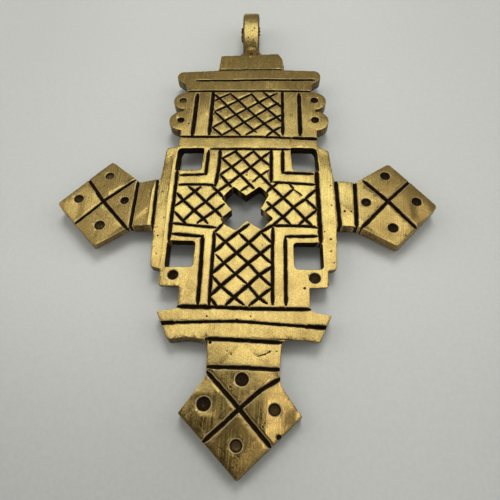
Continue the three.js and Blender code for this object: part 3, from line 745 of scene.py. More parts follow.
LEAN_WHOLE, LEAN_REACH, LEAN_RUN_OUT = 0.3, 1.3, 0.6


def lean_walls(obj):
    """Slants walls, which the file did not keep square: the deeper a point near the wall, the further it moves."""
    co = points_of(obj.data)
    spots = np.stack(in_millimetres(co), axis=1)
    depth = np.clip((FACE - co[:, 2]) / (FACE - BACK), 0, 1)
    for start, end, lean in WALL_LEANS:
        line = np.subtract(end, start)
        length = np.hypot(*line)
        line = line / length
        from_start = spots - start
        along = from_start @ line
        across = np.abs(from_start[:, 0] * line[1] - from_start[:, 1] * line[0])
        near = 1 - ramp(across, LEAN_WHOLE, LEAN_REACH)
        near *= ramp(along, -LEAN_RUN_OUT, LEAN_WHOLE) * (1 - ramp(along, length - LEAN_WHOLE, length + LEAN_RUN_OUT))
        co[:, :2] += np.outer(depth * near, lean) * MM
    move_points(obj.data, co)


unsettle(cross)
lean_walls(cross)

# %% [markdown]
# ## Fewer faces, and marks for the material
# The even faces are far too many for the flat parts. Decimate keeps them where the surface bends, in the cuts
# and along the edges. A second tree then writes on every point how far the nearest cut, dot and rim are. The
# material reads these numbers and lays the dirt where it belongs, with painted shade on the walls of the openings.
# Last, the normals are weighted by the area of the faces and split at sharp edges, so that a flat field shines as one
# flat right up to its lip.

# %% Thinning and marking
FACE_BUDGET = 190000
SHARP_TURN = 22
LARGE_FACE_WEIGHT = 85


def thin_out(obj, budget):
    """Brings the mesh down to a number of triangles."""
    obj.data.calc_loop_triangles()
    modifier = obj.modifiers.new("fewer_faces", "DECIMATE")
    modifier.ratio = min(1.0, budget / len(obj.data.loop_triangles))
    bake_modifiers(obj)


def crisp_normals(obj):
    """Lets the normals follow the larger faces, so that a flat stays flat up to its lip."""
    obj.data.set_sharp_from_angle(angle=math.radians(SHARP_TURN))
    modifier = obj.modifiers.new("crisp_normals", "WEIGHTED_NORMAL")
    modifier.mode = "FACE_AREA"
    modifier.weight = LARGE_FACE_WEIGHT
    modifier.keep_sharp = True
    bake_modifiers(obj)


def rim_edges(name, chosen):
    """Outlines as closed chains of edges."""
    places, edges = [], []
    for rim in chosen:
        first, count = len(places), len(rim)
        places += [at(*place) for place in rim]
        edges += [(first + i, first + (i + 1) % count) for i in range(count)]
    return mesh_object(name, places, edges)


def marking_tree():
    inputs = CARVING_INPUTS + [("Openings", "Object", None)]
    tree, given, result = new_group("GeometryNodeTree", "mark_for_ageing", inputs, [("Geometry", "Geometry")])
    s = shares(tree, given)
    spot = make(tree, "ShaderNodeCombineXYZ", {"X": s["x"], "Y": s["y"]})
    rim = add(tree, "GeometryNodeObjectInfo", {"Object": given["Openings"]}).outputs["Geometry"]
    feeds = {"Geometry": rim, "Sample Position": spot}
    away = add(tree, "GeometryNodeProximity", feeds, target_element="EDGES").outputs["Distance"]
    up = split(make(tree, "GeometryNodeInputNormal"))[2]
    # Walls that face sideways, away from cuts and dots, are marked to go darker, less at the ends of the arms.
    beside = times(ease(s["line"], 1.3, 2.2), ease(s["dot"], 1.1, 1.4))
    less_at_arm_ends = ease(calc("ABSOLUTE", s["x"]), 18 * MM, 22 * MM, 1.0, 0.65)
    side = times(ease(up, 0.35, 0.8, 1.0, 0.0), times(beside, less_at_arm_ends))
    marks = {
        "line_share": least(s["line"], 4.0), "dot_share": least(s["dot"], 4.0),
        "dot_dark": s["dark"], "side": side,
        # Walls near the openings' rims are marked fully dark: dirt and painted shade in one.
        "inner_wall": times(side, ease(away, 0.6 * MM, 1.0 * MM, 1.0, 0.0)),
    }
    now = given["Geometry"]
    for name, value in marks.items():
        now = make(tree, "GeometryNodeStoreNamedAttribute", {"Geometry": now, "Name": name, "Value": value})
    return finish_tree(tree, result, now, given["Material"])


thin_out(cross, FACE_BUDGET)
opening_lines = rim_edges("openings", rims[1:])
run_tree(cross, marking_tree(), {**tools, "Openings": opening_lines})
crisp_normals(cross)
for helper in (strokes, dots, opening_lines):
    bpy.data.objects.remove(helper)
cross.data.calc_loop_triangles()
print("cross:", len(cross.data.loop_triangles), "triangles", [a.name for a in cross.data.attributes])

# %% [markdown]
# ## The loop
# The loop is a strap bent to a long ring and filed round on its edges. A profile swept along an ellipse is
# exactly that, so a small geometry tree with the strap's four sizes makes it. Its front isn't a true ellipse:
# it rises in one long bow from the root to a point near the top, which puts the shine where the real one has
# it. Voxels and noise then give the strap the skin of a casting, with thin flash left standing on its sides.

# %% Loop
LOOP_INPUTS = [
    GEOMETRY_IN, ("Length", "Float", 0.013), ("Height", "Float", 0.006), ("Strap width", "Float", 0.0034),
    ("Strap thickness", "Float", 0.0013), ("Edge radius", "Float", 0.0004), ("Material", "Material", None),
]


def loop_tree():
    tree, given, result = new_group("GeometryNodeTree", "strap_loop", LOOP_INPUTS, [("Geometry", "Geometry")])
    ring = make(tree, "GeometryNodeCurvePrimitiveCircle", {"Resolution": 128, "Radius": 0.5})
    length = minus(given["Length"], given["Strap thickness"])
    height = minus(given["Height"], given["Strap thickness"])
    size = make(tree, "ShaderNodeCombineXYZ", {"X": length, "Y": height, "Z": 1.0})
    oval = make(tree, "GeometryNodeTransform", {"Geometry": ring, "Scale": size})
    feeds = {"Geometry": oval, "Rotation": (math.pi / 2, 0, math.pi / 2)}
    upright = make(tree, "GeometryNodeTransform", feeds)
    feeds = {"Width": given["Strap width"], "Height": given["Strap thickness"]}
    section = make(tree, "GeometryNodeCurvePrimitiveQuadrilateral", feeds)
    feeds = {"Curve": section, "Count": 5, "Radius": given["Edge radius"], "Limit Radius": True}
    filed = make(tree, "GeometryNodeFilletCurve", feeds, mode="POLY")
    strap = make(tree, "GeometryNodeCurveToMesh", {"Curve": upright, "Profile Curve": filed})
    return finish_tree(tree, result, strap, given["Material"])


LOOP_HALF_LENGTH, LOOP_HALF_HEIGHT, STRAP_HALF, STRAP_HALF_WIDTH = 6.5, 3.0, 0.65, 1.9
loop_sizes = {"Length": LOOP_HALF_LENGTH, "Height": LOOP_HALF_HEIGHT, "Strap width": STRAP_HALF_WIDTH}
loop_brass = bpy.data.materials.new("loop_brass")
loop = mesh_object("strap_loop", [])
run_tree(loop, loop_tree(), {"Material": loop_brass, **{name: 2 * half * MM for name, half in loop_sizes.items()}})
print("loop before placing:", (np.ptp(points_of(loop.data), axis=0) / MM).round(2))


def cast_skin_tree():
    """Pushes points in and out along their normals, as sand and wax leave a cast or brazed skin."""
    inputs = [GEOMETRY_IN, ("Depth", "Float", 0.0001), ("Grain", "Float", 0.001), ("Seed", "Float", 0.0),
              ("Material", "Material", None)]
    tree, given, result = new_group("GeometryNodeTree", "cast_skin", inputs, [("Geometry", "Geometry")])
    scale = over(1.0, given["Grain"])
    feeds = {"W": given["Seed"], "Scale": scale, "Detail": 3.0}
    noise = add(tree, "ShaderNodeTexNoise", feeds, noise_dimensions="4D").outputs["Fac"]
    amount = times(minus(noise, 0.5), given["Depth"])
    normal = make(tree, "GeometryNodeInputNormal")
    push = make(tree, "ShaderNodeVectorMath", {0: normal, "Scale": amount}, operation="SCALE")
    moved = make(tree, "GeometryNodeSetPosition", {"Geometry": given["Geometry"], "Offset": push})
    smooth = make(tree, "GeometryNodeSetShadeSmooth", {"Geometry": moved})
    return finish_tree(tree, result, smooth, given["Material"])


cast_skin = cast_skin_tree()

# %% [markdown]
# ## Fitting the strap
# The ring is moved to the plain loop's place, narrowed towards its root and its top, and bent to its own front
# line. Then the skin is roughened, the flash is pulled out of its sides, and grime is noted where a cloth
# can't reach. All of this could be modelled by hand, but a few lines of numbers are easier to match to a view.

# %% Loop in its place
# Share of the strap's width by its place above the arms
STRAP_WIDTHS = [(42.8, 0.9), (44.5, 0.93), (46.5, 0.98), (51.5, 1), (55.9, 0.9)]
LOOP_SHIFT = 0.15
ROOT_LINE = 42.85
LOOP_PEAK = 50.9
FRONT_ROOT = 41.6
LOOP_TOP_SHRINK = 0.9


def front_height(y):
    """How far the strap's front stands from the loop's middle: highest near the top, then falling to the root."""
    root, top = LOOP_PEAK - FRONT_ROOT, ROOT_LINE + 2 * LOOP_HALF_LENGTH - LOOP_PEAK
    if y > LOOP_PEAK:
        return LOOP_HALF_HEIGHT * math.sqrt(max(0.0, 1 - ((y - LOOP_PEAK) / top) ** 2))
    return LOOP_HALF_HEIGHT * (1 - min(1.0, (LOOP_PEAK - y) / root) ** 2)


def fit_loop(obj):
    """Moves the strap to the CAD loop's place and narrows it towards its root and its top."""
    middle = (LOOP_LOW + LOOP_HIGH) / 2
    top = LOOP_HIGH.y
    far = max(v.co.y for v in obj.data.vertices)
    for vertex in obj.data.vertices:
        height = (vertex.co.y + top - far - ARM_LINE) / MM
        share = float(np.interp(height, *zip(*STRAP_WIDTHS)))
        along = vertex.co.y / MM / LOOP_HALF_LENGTH
        lift = 0.0
        if vertex.co.z > 0:
            lift = (front_height(height) - LOOP_HALF_HEIGHT * math.sqrt(max(0.0, 1 - along**2))) * MM
        back_off = max(0.0, height - LOOP_PEAK) * (1 - LOOP_TOP_SHRINK) * MM
        across = vertex.co.x * share + LOOP_SHIFT * MM
        vertex.co = Vector((across, vertex.co.y + top - far - back_off, vertex.co.z + lift + middle.z))


# Flash: which side, from where to where, and how far it stands out
FLASH = [(-1, 45.0, 48.4, 0.42), (1, 46.6, 48.6, 0.3)]
SEAM_WHOLE, SEAM_REACH = 0.05, 0.17
FLASH_OUTSIDE, FLASH_INSIDE = 0.3, 0.2
FLANK_BEGIN, FLANK_FULL = 0.3, 0.1
RAGGED_LEVEL, RAGGED_SWING, RAGGED_WIDTH, RAGGED_SEED = 0.6, 1.8, 0.32, 5


def leave_flash(obj):
    """Pulls ragged bits out of the sides of the strap's front, where the halves of its mould met."""
    co = points_of(obj.data)
    middle = (LOOP_LOW + LOOP_HIGH) / 2
    x, y = in_millimetres(co)
    x -= LOOP_SHIFT
    oval_y = (co[:, 1] - LOOP_HIGH.y) / MM + LOOP_HALF_LENGTH
    fronts = np.array([front_height(value) for value in y])
    below = (fronts - STRAP_HALF - (co[:, 2] - middle.z) / MM) / LOOP_HALF_HEIGHT
    around = np.where(np.abs(oval_y) < LOOP_HALF_LENGTH, 1 - below, 0)
    seam = 1 - ramp(np.abs(around - 1), SEAM_WHOLE, SEAM_REACH)
    half = STRAP_HALF_WIDTH * np.interp(y, *zip(*STRAP_WIDTHS))
    for side, low, high, reach in FLASH:
        along = ramp(y, low - FLASH_OUTSIDE, low + FLASH_INSIDE)
        along *= 1 - ramp(y, high - FLASH_INSIDE, high + FLASH_OUTSIDE)
        bits = waves(y, co[:, 2] / MM, RAGGED_WIDTH, RAGGED_SEED + side)
        ragged = np.clip(RAGGED_LEVEL + RAGGED_SWING * bits, 0, 1)
        flank = ramp(side * x, half - FLANK_BEGIN, half - FLANK_FULL) * (co[:, 2] > middle.z)
        co[:, 0] += side * reach * MM * seam * along * ragged * flank
    move_points(obj.data, co)


DIRTY_FLANK = (0.4, 0.75)
SPOT_CORE = 0.4


def note_dirt(obj, spots):
    """Writes on every point whether dirt stays there: on the flanks, and in round spots (x, y, radius)."""
    mesh = obj.data
    normals = np.zeros(len(mesh.vertices) * 3)
    mesh.vertex_normals.foreach_get("vector", normals)
    side = ramp(np.abs(normals[0::3]), *DIRTY_FLANK)
    across, above_arms = in_millimetres(points_of(mesh))
    for x, y, radius in spots:
        away = np.hypot(across - x, above_arms - y)
        side = np.maximum(side, 1 - ramp(away, SPOT_CORE * radius, radius))
    write_on(mesh, "side", side)


SMALL_FACE = 0.1 * MM
fit_loop(loop)
even_faces(loop, SMALL_FACE)
leave_flash(loop)
run_tree(loop, cast_skin, {"Depth": 0.045 * MM, "Grain": 0.9 * MM, "Seed": 3.0, "Material": loop_brass})
flash_dirt = [(-2.1, 45.1 + 0.55 * i, 0.55) for i in range(7)] + [(2.35, 46.7 + 0.6 * i, 0.55) for i in range(4)]
pitted = [
    (0.7, 50.6, 0.22), (0.9, 48.0, 0.26), (0.5, 47.3, 0.2), (1.1, 52.9, 0.3), (-0.4, 45.6, 0.25), (0.7, 45.0, 0.3),
]
note_dirt(loop, flash_dirt + pitted)
print("loop:", len(loop.data.polygons), "faces")

# %% [markdown]
# ## The braze
# The loop stands on a short flare of brazing metal that ran down onto the edge of the cap block. It is built
# from oval rings, each a bit further up, and then roughened, because molten braze freezes in soft lumps.

# %% Braze
# Rings: place above the arms, half width and half height
BRAZE_RINGS = [
    (39.7, 1.6, 1.05), (40.2, 2.2, 1.12), (40.7, 2.9, 1.13), (41.1, 2.85, 1.12), (41.4, 2.7, 1.08),
    (41.8, 2.35, 1.05), (42.3, 2, 1), (43, 1.8, 1.05), (43.8, 1.72, 1.2), (44.5, 1.6, 1.3),
]
BRAZE_SHIFT = 0.3
RING_STEPS = 32
RING_SQUARENESS = 0.75


def braze_flare():
    """Oval rings bridged from the cap block to the loop."""
    work = bmesh.new()
    middle = (FACE + BACK) / 2
    rings = []
    for y, half_width, half_height in BRAZE_RINGS:
        ring = []
        for step in range(RING_STEPS):
            turn = 2 * math.pi * step / RING_STEPS
            c, s = (math.copysign(abs(v) ** RING_SQUARENESS, v) for v in (math.cos(turn), math.sin(turn)))
            ring.append(work.verts.new(at(c * half_width + BRAZE_SHIFT, y, middle + s * half_height * MM)))
        rings.append(ring)
    for lower, upper in zip(rings, rings[1:]):
        for i in range(RING_STEPS):
            j = (i + 1) % RING_STEPS
            work.faces.new((lower[i], lower[j], upper[j], upper[i]))
    work.faces.new(rings[0])
    work.faces.new(rings[-1])
    bmesh.ops.recalc_face_normals(work, faces=work.faces)
    mesh = bpy.data.meshes.new("braze_flare")
    work.to_mesh(mesh)
    work.free()
    return new_object("braze_flare", mesh)


braze_metal = bpy.data.materials.new("braze_metal")
braze = braze_flare()
even_faces(braze, SMALL_FACE)
run_tree(braze, cast_skin, {"Depth": 0.32 * MM, "Grain": 0.8 * MM, "Seed": 8.0, "Material": braze_metal})
note_dirt(braze, [(0.3, 41.2, 0.7), (1.0, 41.8, 0.35), (-0.5, 41.8, 0.3), (1.6, 41.1, 0.4), (0.3, 42.6, 0.25)])
print("braze:", len(braze.data.polygons), "faces")

# %% [markdown]
# ## Marks that brass collects
# Brushing leaves fine streaks in a few directions, and casting leaves a speckled skin with pinholes. All three
# brasses need both, so each effect is a group. The groups put out only values, so that each material decides
# its own colours. Image textures would look as good, but they would have to be painted for this one piece.

# %% Brushing
def shader_group(name, inputs, outputs):
    return new_group("ShaderNodeTree", name, inputs, outputs)


def brushing_group():
    """Streaks from file and cloth, in three directions that fade in and out."""
    inputs = [("Vector", "Vector", None), ("Streak width", "Float", 0.0002), ("Streak length", "Float", 0.005)]
    outputs = [("Streaks", "Float")]
    tree, given, result = shader_group("hand_brushing", inputs, outputs)
    across = over(1.0, given["Streak width"])
    along = over(1.0, given["Streak length"])
    total = None
    for i, turn in enumerate((4, 38, -52)):
        scale = make(tree, "ShaderNodeCombineXYZ", {"X": across, "Y": along, "Z": along})
        turned = make(tree, "ShaderNodeVectorRotate", {"Vector": given["Vector"], "Angle": math.radians(turn)},
                      rotation_type="Z_AXIS")
        stretched = make(tree, "ShaderNodeVectorMath", {0: turned, 1: scale}, operation="MULTIPLY")
        streak = noise_at(stretched, 1.0, 2.0)
        where = noise_at(turned, 170.0 + 60 * i, 1.0)
        low, high = (0.2, 0.5) if i == 0 else (0.5, 0.68)
        part = times(minus(streak, 0.5), ease(where, low, high))
        total = part if total is None else plus(total, part)
    feed(result["Streaks"], plus(total, 0.5))
    return tree


def skin_group():
    """Mottling, speckle and pinholes of a casting."""
    inputs = [("Vector", "Vector", None), ("Speckle size", "Float", 0.00021), ("Pinhole spacing", "Float", 0.0016)]
    outputs = [("Mottle", "Float"), ("Speckle", "Float"), ("Pinholes", "Float")]
    tree, given, result = shader_group("cast_speckle", inputs, outputs)
    mottle = noise_at(given["Vector"], 260.0, 4.0)
    fine = over(1.0, given["Speckle size"])
    speckle = noise_at(given["Vector"], fine, 3.0)
    spread = over(1.0, given["Pinhole spacing"])
    cells = add(tree, "ShaderNodeTexVoronoi", {"Vector": given["Vector"], "Scale": spread}, feature="F1")
    size = split(cells.outputs["Color"])[0]
    radius = ease(size, 0.72, 1.0, 0.0, 0.13)
    hole = ease(minus(cells.outputs["Distance"], radius), -0.03, 0.03, 1.0, 0.0)
    seen = above(size, 0.74)
    feed(result["Mottle"], mottle)
    feed(result["Speckle"], speckle)
    feed(result["Pinholes"], times(hole, seen))
    return tree


brushing = brushing_group()
skin = skin_group()
print("groups:", brushing.name, skin.name)

# %% [markdown]
# ## Dirt in the cuts
# Wax, soot and old polish stay wherever a cloth can't reach. The group compares each point's distance with the
# half width of its own cut, so that a broad cut gets a broad dark line, and a little noise frays the edge. In
# the round dots the wall stays black while the bottom may be rubbed. Painting it by hand would lose that. The
# walls go darker too; near the openings' rims they go fully dark, with dirt and painted shade together.
# A darker band lies beside each cut.

# %% Dirt in the carving
def dirt_group():
    """How much old dirt lies on a point, from its distances to strokes, dots and rims, with painted shade on the
    walls of the openings.
    """
    inputs = [("Vector", "Vector", None), ("Line share", "Float", 4.0), ("Dot share", "Float", 4.0),
              ("Dot dark", "Float", 1.0), ("Side", "Float", 0.0), ("Inner wall", "Float", 0.0),
              ("Raggedness", "Float", 0.3)]
    outputs = [("Dirt", "Float"), ("Darker beside cuts", "Float")]
    tree, given, result = shader_group("dirt_in_cuts", inputs, outputs)
    noise = noise_at(given["Vector"], 2600.0, 3.0)
    ragged = times(minus(noise, 0.5), given["Raggedness"])
    line = plus(given["Line share"], ragged)
    thin = ease(noise, 0.3, 0.5, 0.8, 1.0)
    in_line = times(ease(line, 0.8, 0.95, 1.0, 0.0), thin)
    dot = plus(given["Dot share"], times(ragged, 0.4))
    wall = times(ease(dot, 0.5, 0.8), 0.9)
    glint = times(ease(noise, 0.6, 0.7), ease(dot, 0.5, 0.7, 0.3, 0.0))
    bottom = minus(given["Dot dark"], glint)
    in_dot = times(ease(dot, 0.94, 1.02, 1.0, 0.0), most(bottom, wall))
    patchy = ease(noise, 0.3, 0.7, 0.4, 0.85)
    # Walls go darker, fully near the openings' rims, where this is dirt and painted shade in one.
    on_side = most(times(given["Side"], patchy), given["Inner wall"])
    dirt = most(most(in_line, in_dot), on_side)
    # A darker band beside each cut, broken up by noise.
    darker_beside_cuts = times(ease(line, 1.0, 2.2, 1.0, 0.0), ease(noise, 0.35, 0.65))
    feed(result["Dirt"], dirt)
    feed(result["Darker beside cuts"], darker_beside_cuts)
    return tree


dirt = dirt_group()
print("dirt group:", [socket.name for socket in dirt.interface.items_tree])

# %% [markdown]
# ## Brass
# Worn brass is a metal whose colour shifts between a bright rubbed yellow and a dull olive brown. Dirt isn't a
# metal: where it lies, the colour goes nearly black, the metal fades out and the surface turns rough. The lips
# of the cuts are rubbed brightest of all and get a thin pale line, rubbed wear with a painted highlight on it.
# Beside each cut the colour goes a little darker. The streaks move both the roughness and, through a bump, the shine.

# %% Brass materials
RUBBED = (0.84, 0.58, 0.19, 1)
DULL = (0.56, 0.36, 0.11, 1)
STAIN = (0.22, 0.11, 0.03, 1)
GRIME = (0.014, 0.008, 0.004, 1)
LIP_WEAR_AND_HIGHLIGHT = (0.97, 0.77, 0.38, 1)
TARNISH_SHARE, SPECKLE_SHARE, PINHOLE_SHARE, DARKER_BESIDE_CUTS_SHARE, LIP_HIGHLIGHT_SHARE = 0.45, 0.38, 0.85, 0.35, 0.8
# Rubbed lips with their painted highlight: where they begin, are full, fade and end, as shares of the half width or
# the radius
LINE_LIP = (0.86, 0.96, 1.25, 1.4)
DOT_LIP = (0.94, 1.0, 1.1, 1.18)
LIP_RAGGEDNESS = 0.12
DIRT_ROUGHNESS = 0.5
CLEAN_SHINE, DIRT_SHINE = 0.5, 0.06
BUMP_STRENGTH, BUMP_HEIGHT = 0.26, 0.03 * MM


def mix_colour(share, first, second):
    feeds = {0: share, 6: first, 7: second}
    return add(share.id_data, "ShaderNodeMix", feeds, data_type="RGBA", clamp_factor=True).outputs[2]


def mix_value(share, first, second):
    return make(share.id_data, "ShaderNodeMix", {0: share, 2: first, 3: second}, clamp_factor=True)


def band(value, begin, full, fade, end):
    """1 from full to fade, and 0 before begin and after end."""
    return times(ease(value, begin, full), ease(value, fade, end, 1.0, 0.0))


def reading(tree, name):
    """A number that the marking tree wrote on the piece."""
    return add(tree, "ShaderNodeAttribute", attribute_name=name).outputs["Fac"]


def brass_material(material, marked, rubbed, dull, roughness, pinhole_spacing, dirt_on_all=0.0):
    """Brass with brushing, speckle and dirt; marked pieces read their distances, others only their own skin."""
    material.use_nodes = True
    tree = material.node_tree
    shader = tree.nodes["Principled BSDF"]
    spot = add(tree, "ShaderNodeTexCoord").outputs["Object"]
    streaks = add(tree, "ShaderNodeGroup", {"Vector": spot}, node_tree=brushing)
    specks = add(tree, "ShaderNodeGroup", {"Vector": spot, "Pinhole spacing": pinhole_spacing}, node_tree=skin)
    tarnish = ease(specks.outputs["Mottle"], 0.38, 0.68)
    grain = ease(specks.outputs["Speckle"], 0.3, 0.7)
    colour = mix_colour(times(tarnish, TARNISH_SHARE), rubbed, dull)
    darker = times(minus(1.0, grain), SPECKLE_SHARE)
    colour = mix_colour(darker, colour, STAIN)
    pinholes = specks.outputs["Pinholes"]
    colour = mix_colour(times(pinholes, PINHOLE_SHARE), colour, GRIME)
    streak = streaks.outputs["Streaks"]
    rough = plus(roughness, times(minus(streak, 0.5), 0.3))
    rough = plus(rough, times(tarnish, 0.06))
    height = plus(times(streak, 0.8), times(grain, 0.16))
    height = minus(height, times(pinholes, 1.5))
    if marked:
        readings = ("line_share", "dot_share", "dot_dark", "side", "inner_wall")
        feeds = {name.replace("_", " ").capitalize(): reading(tree, name) for name in readings}
        old = add(tree, "ShaderNodeGroup", {"Vector": spot, **feeds}, node_tree=dirt)
        # The colour goes darker in a band beside each cut.
        colour = mix_colour(times(old.outputs["Darker beside cuts"], DARKER_BESIDE_CUTS_SHARE), colour, STAIN)
        cover = old.outputs["Dirt"]
        # The lips get a pale line, rubbed wear with a painted highlight, and a rougher surface.
        beside_line = plus(feeds["Line share"], times(minus(grain, 0.5), LIP_RAGGEDNESS))
        lip_wear_and_highlight = most(band(beside_line, *LINE_LIP), band(feeds["Dot share"], *DOT_LIP))
        colour = mix_colour(times(lip_wear_and_highlight, LIP_HIGHLIGHT_SHARE), colour, LIP_WEAR_AND_HIGHLIGHT)
        rough = mix_value(lip_wear_and_highlight, rough, DIRT_ROUGHNESS)
    else:
        spread = times(ease(specks.outputs["Speckle"], 0.55, 0.35), dirt_on_all)
        flank = times(reading(tree, "side"), ease(specks.outputs["Mottle"], 0.3, 0.6, 0.6, 0.95))
        cover = most(spread, flank)
    crust = ease(specks.outputs["Speckle"], 0.54, 0.74, 0.0, 0.3)
    hidden = minus(1.0, calc("POWER", minus(1.0, cover), 2.0))
    colour = mix_colour(hidden, colour, mix_colour(crust, GRIME, STAIN))
    feeds = {"Strength": BUMP_STRENGTH, "Distance": BUMP_HEIGHT, "Height": height}
    looks = {
        "Base Color": colour, "Metallic": mix_value(cover, 1.0, 0.0),
        "Roughness": mix_value(cover, rough, DIRT_ROUGHNESS),
        "Specular IOR Level": mix_value(cover, CLEAN_SHINE, DIRT_SHINE),
        "Normal": make(tree, "ShaderNodeBump", feeds),
    }
    for name, value in looks.items():
        feed(shader.inputs[name], value)


# Marked or not, rubbed and dull colour, roughness, distance between pinholes, and dirt all over
brass_material(brass, True, RUBBED, DULL, 0.17, 0.0016)
brass_material(loop_brass, False, (0.84, 0.59, 0.2, 1), (0.5, 0.33, 0.09, 1), 0.22, 0.0011, 0.14)
brass_material(braze_metal, False, (0.6, 0.37, 0.11, 1), (0.33, 0.19, 0.05, 1), 0.26, 0.0009, 0.55)
print("materials:", [m.name for m in bpy.data.materials if m.users])

# %% [markdown]
# ## Floor
# The cross lies on pale paper. It rests on the bottom of its loop and on the tip of its foot, so the floor
# passes through these two lines and the plate leans a little. The paper's colour has painted shade: somewhat
# darker towards the viewer and at both sides, and a painted shadow right beneath the plate. It has fine fibres
# and a few specks of dust.

# %% Floor
FLOOR_COLOUR = (0.637, 0.644, 0.6, 1)
FLOOR_HALF = 1.5
FLOOR_GAP = 0.02 * MM
LOOP_REST = 2


def pale_floor():
    """A wide sheet through the loop's lowest line and the back edge of the foot's tip."""
    rest_y = (LOOP_LOW.y + LOOP_HIGH.y) / 2 + LOOP_REST * MM
    slope = (BACK - LOOP_LOW.z) / (PLATE_LOW.y - rest_y)

    def level(y):
        return LOOP_LOW.z + slope * (y - rest_y)

    corners = [(x * FLOOR_HALF, y * FLOOR_HALF) for x, y in ((-1, -1), (1, -1), (1, 1), (-1, 1))]
    return mesh_object("floor", [(x, y, level(y) - FLOOR_GAP) for x, y in corners], faces=[(0, 1, 2, 3)])


def pale_paper():
    """Paper with fibres and dust, and with painted shade by its place and a painted shadow beneath the plate."""
    paper = bpy.data.materials.new("pale_paper")
    paper.use_nodes = True
    tree = paper.node_tree
    shader = tree.nodes["Principled BSDF"]
    spot = add(tree, "ShaderNodeTexCoord").outputs["Object"]
    fibre = noise_at(spot, 1500.0, 4.0)
    x, y, _ = split(spot)
    # Painted shade in the paper's colour: darker towards the viewer, at both sides and a little far off.
    painted_shade_nearer = times(ease(y, -12 * MM, -62 * MM), ease(x, -10 * MM, 20 * MM, 0.28, 0.17))
    painted_shade_sideways = ease(calc("ABSOLUTE", x), 20 * MM, 60 * MM, 0.0, 0.09)
    painted_shade_farther = ease(y, 25 * MM, 55 * MM, 0.0, 0.02)
    fibres = ease(fibre, 0.3, 0.75, 0.0, 0.04)
    # Painted shadow: the paper's colour goes darker right beneath the plate.
    feeds = {0: spot, 1: at(0, -1)}
    from_middle = add(tree, "ShaderNodeVectorMath", feeds, operation="DISTANCE").outputs["Value"]
    painted_shadow_under_plate = ease(from_middle, 2 * MM, 24 * MM, 0.42, 0.0)
    dust = add(tree, "ShaderNodeTexVoronoi", {"Vector": spot, "Scale": 1 / (7 * MM)}, feature="F1")
    kept = above(split(dust.outputs["Color"])[0], 0.7)
    specks = times(ease(dust.outputs["Distance"], 0.012, 0.032, 0.4, 0.0), kept)
    shade = painted_shade_nearer
    for part in (painted_shade_sideways, painted_shade_farther, fibres, painted_shadow_under_plate, specks):
        shade = plus(shade, part)
    feed(shader.inputs["Base Color"], mix_colour(shade, FLOOR_COLOUR, (0.0, 0.0, 0.0, 1)))
    grained = add(tree, "ShaderNodeBump", {"Strength": 0.3, "Distance": 0.05 * MM, "Height": fibre})
    feed(shader.inputs["Normal"], grained.outputs[0])
    shader.inputs["Roughness"].default_value = 0.9
    return paper


floor = pale_floor()
floor.data.materials.append(pale_paper())
print("floor heights:", [round(corner.co.z, 4) for corner in floor.data.vertices])

# %% [markdown]
# ## Light
# Polished brass shows only what it mirrors, and paper doesn't mirror, so each has lamps of its own. The brass
# mirrors an oval glow ahead with a slightly brighter band in it. The paper is lit by a stronger lamp ahead, by
# two windows at the sides and by a weak low one in front. The room behind is dim, darkest overhead, where the
# camera was held, with a few pale spots for the shine on arms and foot. One photograph of a sky would be less
# work, but these few lamps can be moved one by one until each shine sits where the real one is.

# %% Light
def toward(right, ahead):
    """Direction of the sky seen so many degrees right and ahead of overhead."""
    return Vector((math.tan(math.radians(right)), math.tan(math.radians(ahead)), 1)).normalized()


def oval_lamp(name, direction, spread, distance, radiance, mirrored=True, colour=(1, 1, 1)):
    """An oval lamp that fills the given angles, across and ahead, with the given radiance."""
    data = bpy.data.lights.new(name, "AREA")
    data.shape = "ELLIPSE"
    data.color = colour
    across, ahead = (distance * math.tan(math.radians(angle)) for angle in spread)
    data.size, data.size_y = 2 * across, 2 * ahead
    data.energy = radiance * math.pi * math.pi * across * ahead
    lamp = new_object(name, data)
    lamp.location = direction * distance
    lamp.rotation_euler = direction.to_track_quat("Z", "Y").to_euler()
    lamp.visible_glossy = mirrored
    return lamp


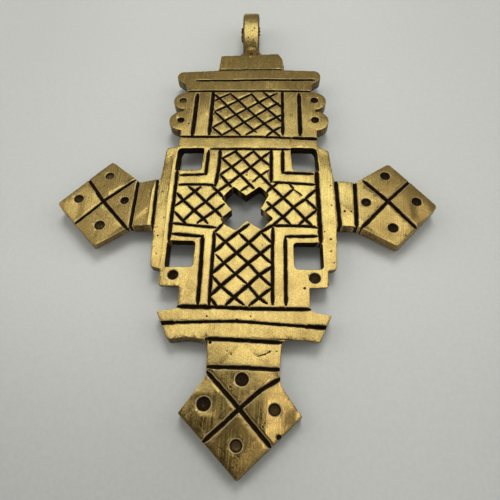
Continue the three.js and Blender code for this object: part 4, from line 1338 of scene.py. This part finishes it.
oval_lamp("ceiling_glow", toward(-1, 29), (16, 15), 1.5, 1.13, colour=(0.97, 1.05, 1.06))
oval_lamp("glow_core", toward(0, 34.5), (13, 5), 1.4, 0.32, colour=(0.4, 1.0, 0.75))
oval_lamp("paper_light", toward(6, 36), (15, 14), 1.0, 6.4, mirrored=False)
oval_lamp("left_window", toward(-60, 22), (26, 26), 0.5, 1.45, mirrored=False)
oval_lamp("right_window", toward(60, 22), (26, 26), 0.5, 1.35, mirrored=False)
oval_lamp("low_front", toward(0, -60), (26, 26), 0.5, 0.75, mirrored=False)


def patch(tree, ray, direction, inner, outer, middle, rest):
    """A value that goes from middle to rest as the ray turns away from a direction, in degrees."""
    dot = add(tree, "ShaderNodeVectorMath", {0: ray, 1: direction}, operation="DOT_PRODUCT").outputs["Value"]
    angle = calc("ARCCOSINE", dot)
    return ease(angle, math.radians(inner), math.radians(outer), middle, rest)


# Pale spots: degrees right and ahead of overhead, inner and outer radius in degrees, and strength
PALE_SPOTS = [
    (11, 9, 5.5, 8, 1.3), (-31, 32, 4, 9, 0.45), (21.5, 36, 1.5, 4.5, 0.75), (16.5, 29, 3, 6, 0.35),
    (5.6, 4.8, 0.6, 2.7, 1.8),
]


def soft_room():
    """A dim room: darker straight above, where the camera was held, with pale spots beside it."""
    world = bpy.data.worlds.new("soft_room")
    bpy.context.scene.world = world
    world.use_nodes = True
    tree = world.node_tree
    ray = add(tree, "ShaderNodeTexCoord").outputs["Generated"]
    level = patch(tree, ray, Vector((0, -1, 0.3)).normalized(), 30, 90, 0.3, 0.19)
    level = times(level, patch(tree, ray, toward(-4, 3), 11, 17, 0.2, 1.0))
    level = times(level, patch(tree, ray, toward(0, -42), 22, 42, 0.25, 1.0))
    for right, ahead, inner, outer, strength in PALE_SPOTS:
        level = plus(level, patch(tree, ray, toward(right, ahead), inner, outer, strength, 0.0))
    room = tree.nodes["Background"]
    room.inputs["Color"].default_value = (1.0, 0.98, 0.94, 1)
    feed(room.inputs["Strength"], level)
    return world


soft_room()
bpy.context.scene.view_settings.view_transform = "Standard"

# %% [markdown]
# ## Pieces on their body
# Each piece is attached to the body it rides on, and the plain piece it stands for is hidden.

# %% Pieces on their body
for piece, node, slot in (
    (cross, "cross_casting", "cast_brass"),
    (loop, "suspension_loop", "loop_brass"),
    (braze, "braze_joint", "braze_metal"),
):
    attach(piece, "root")
    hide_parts(node)
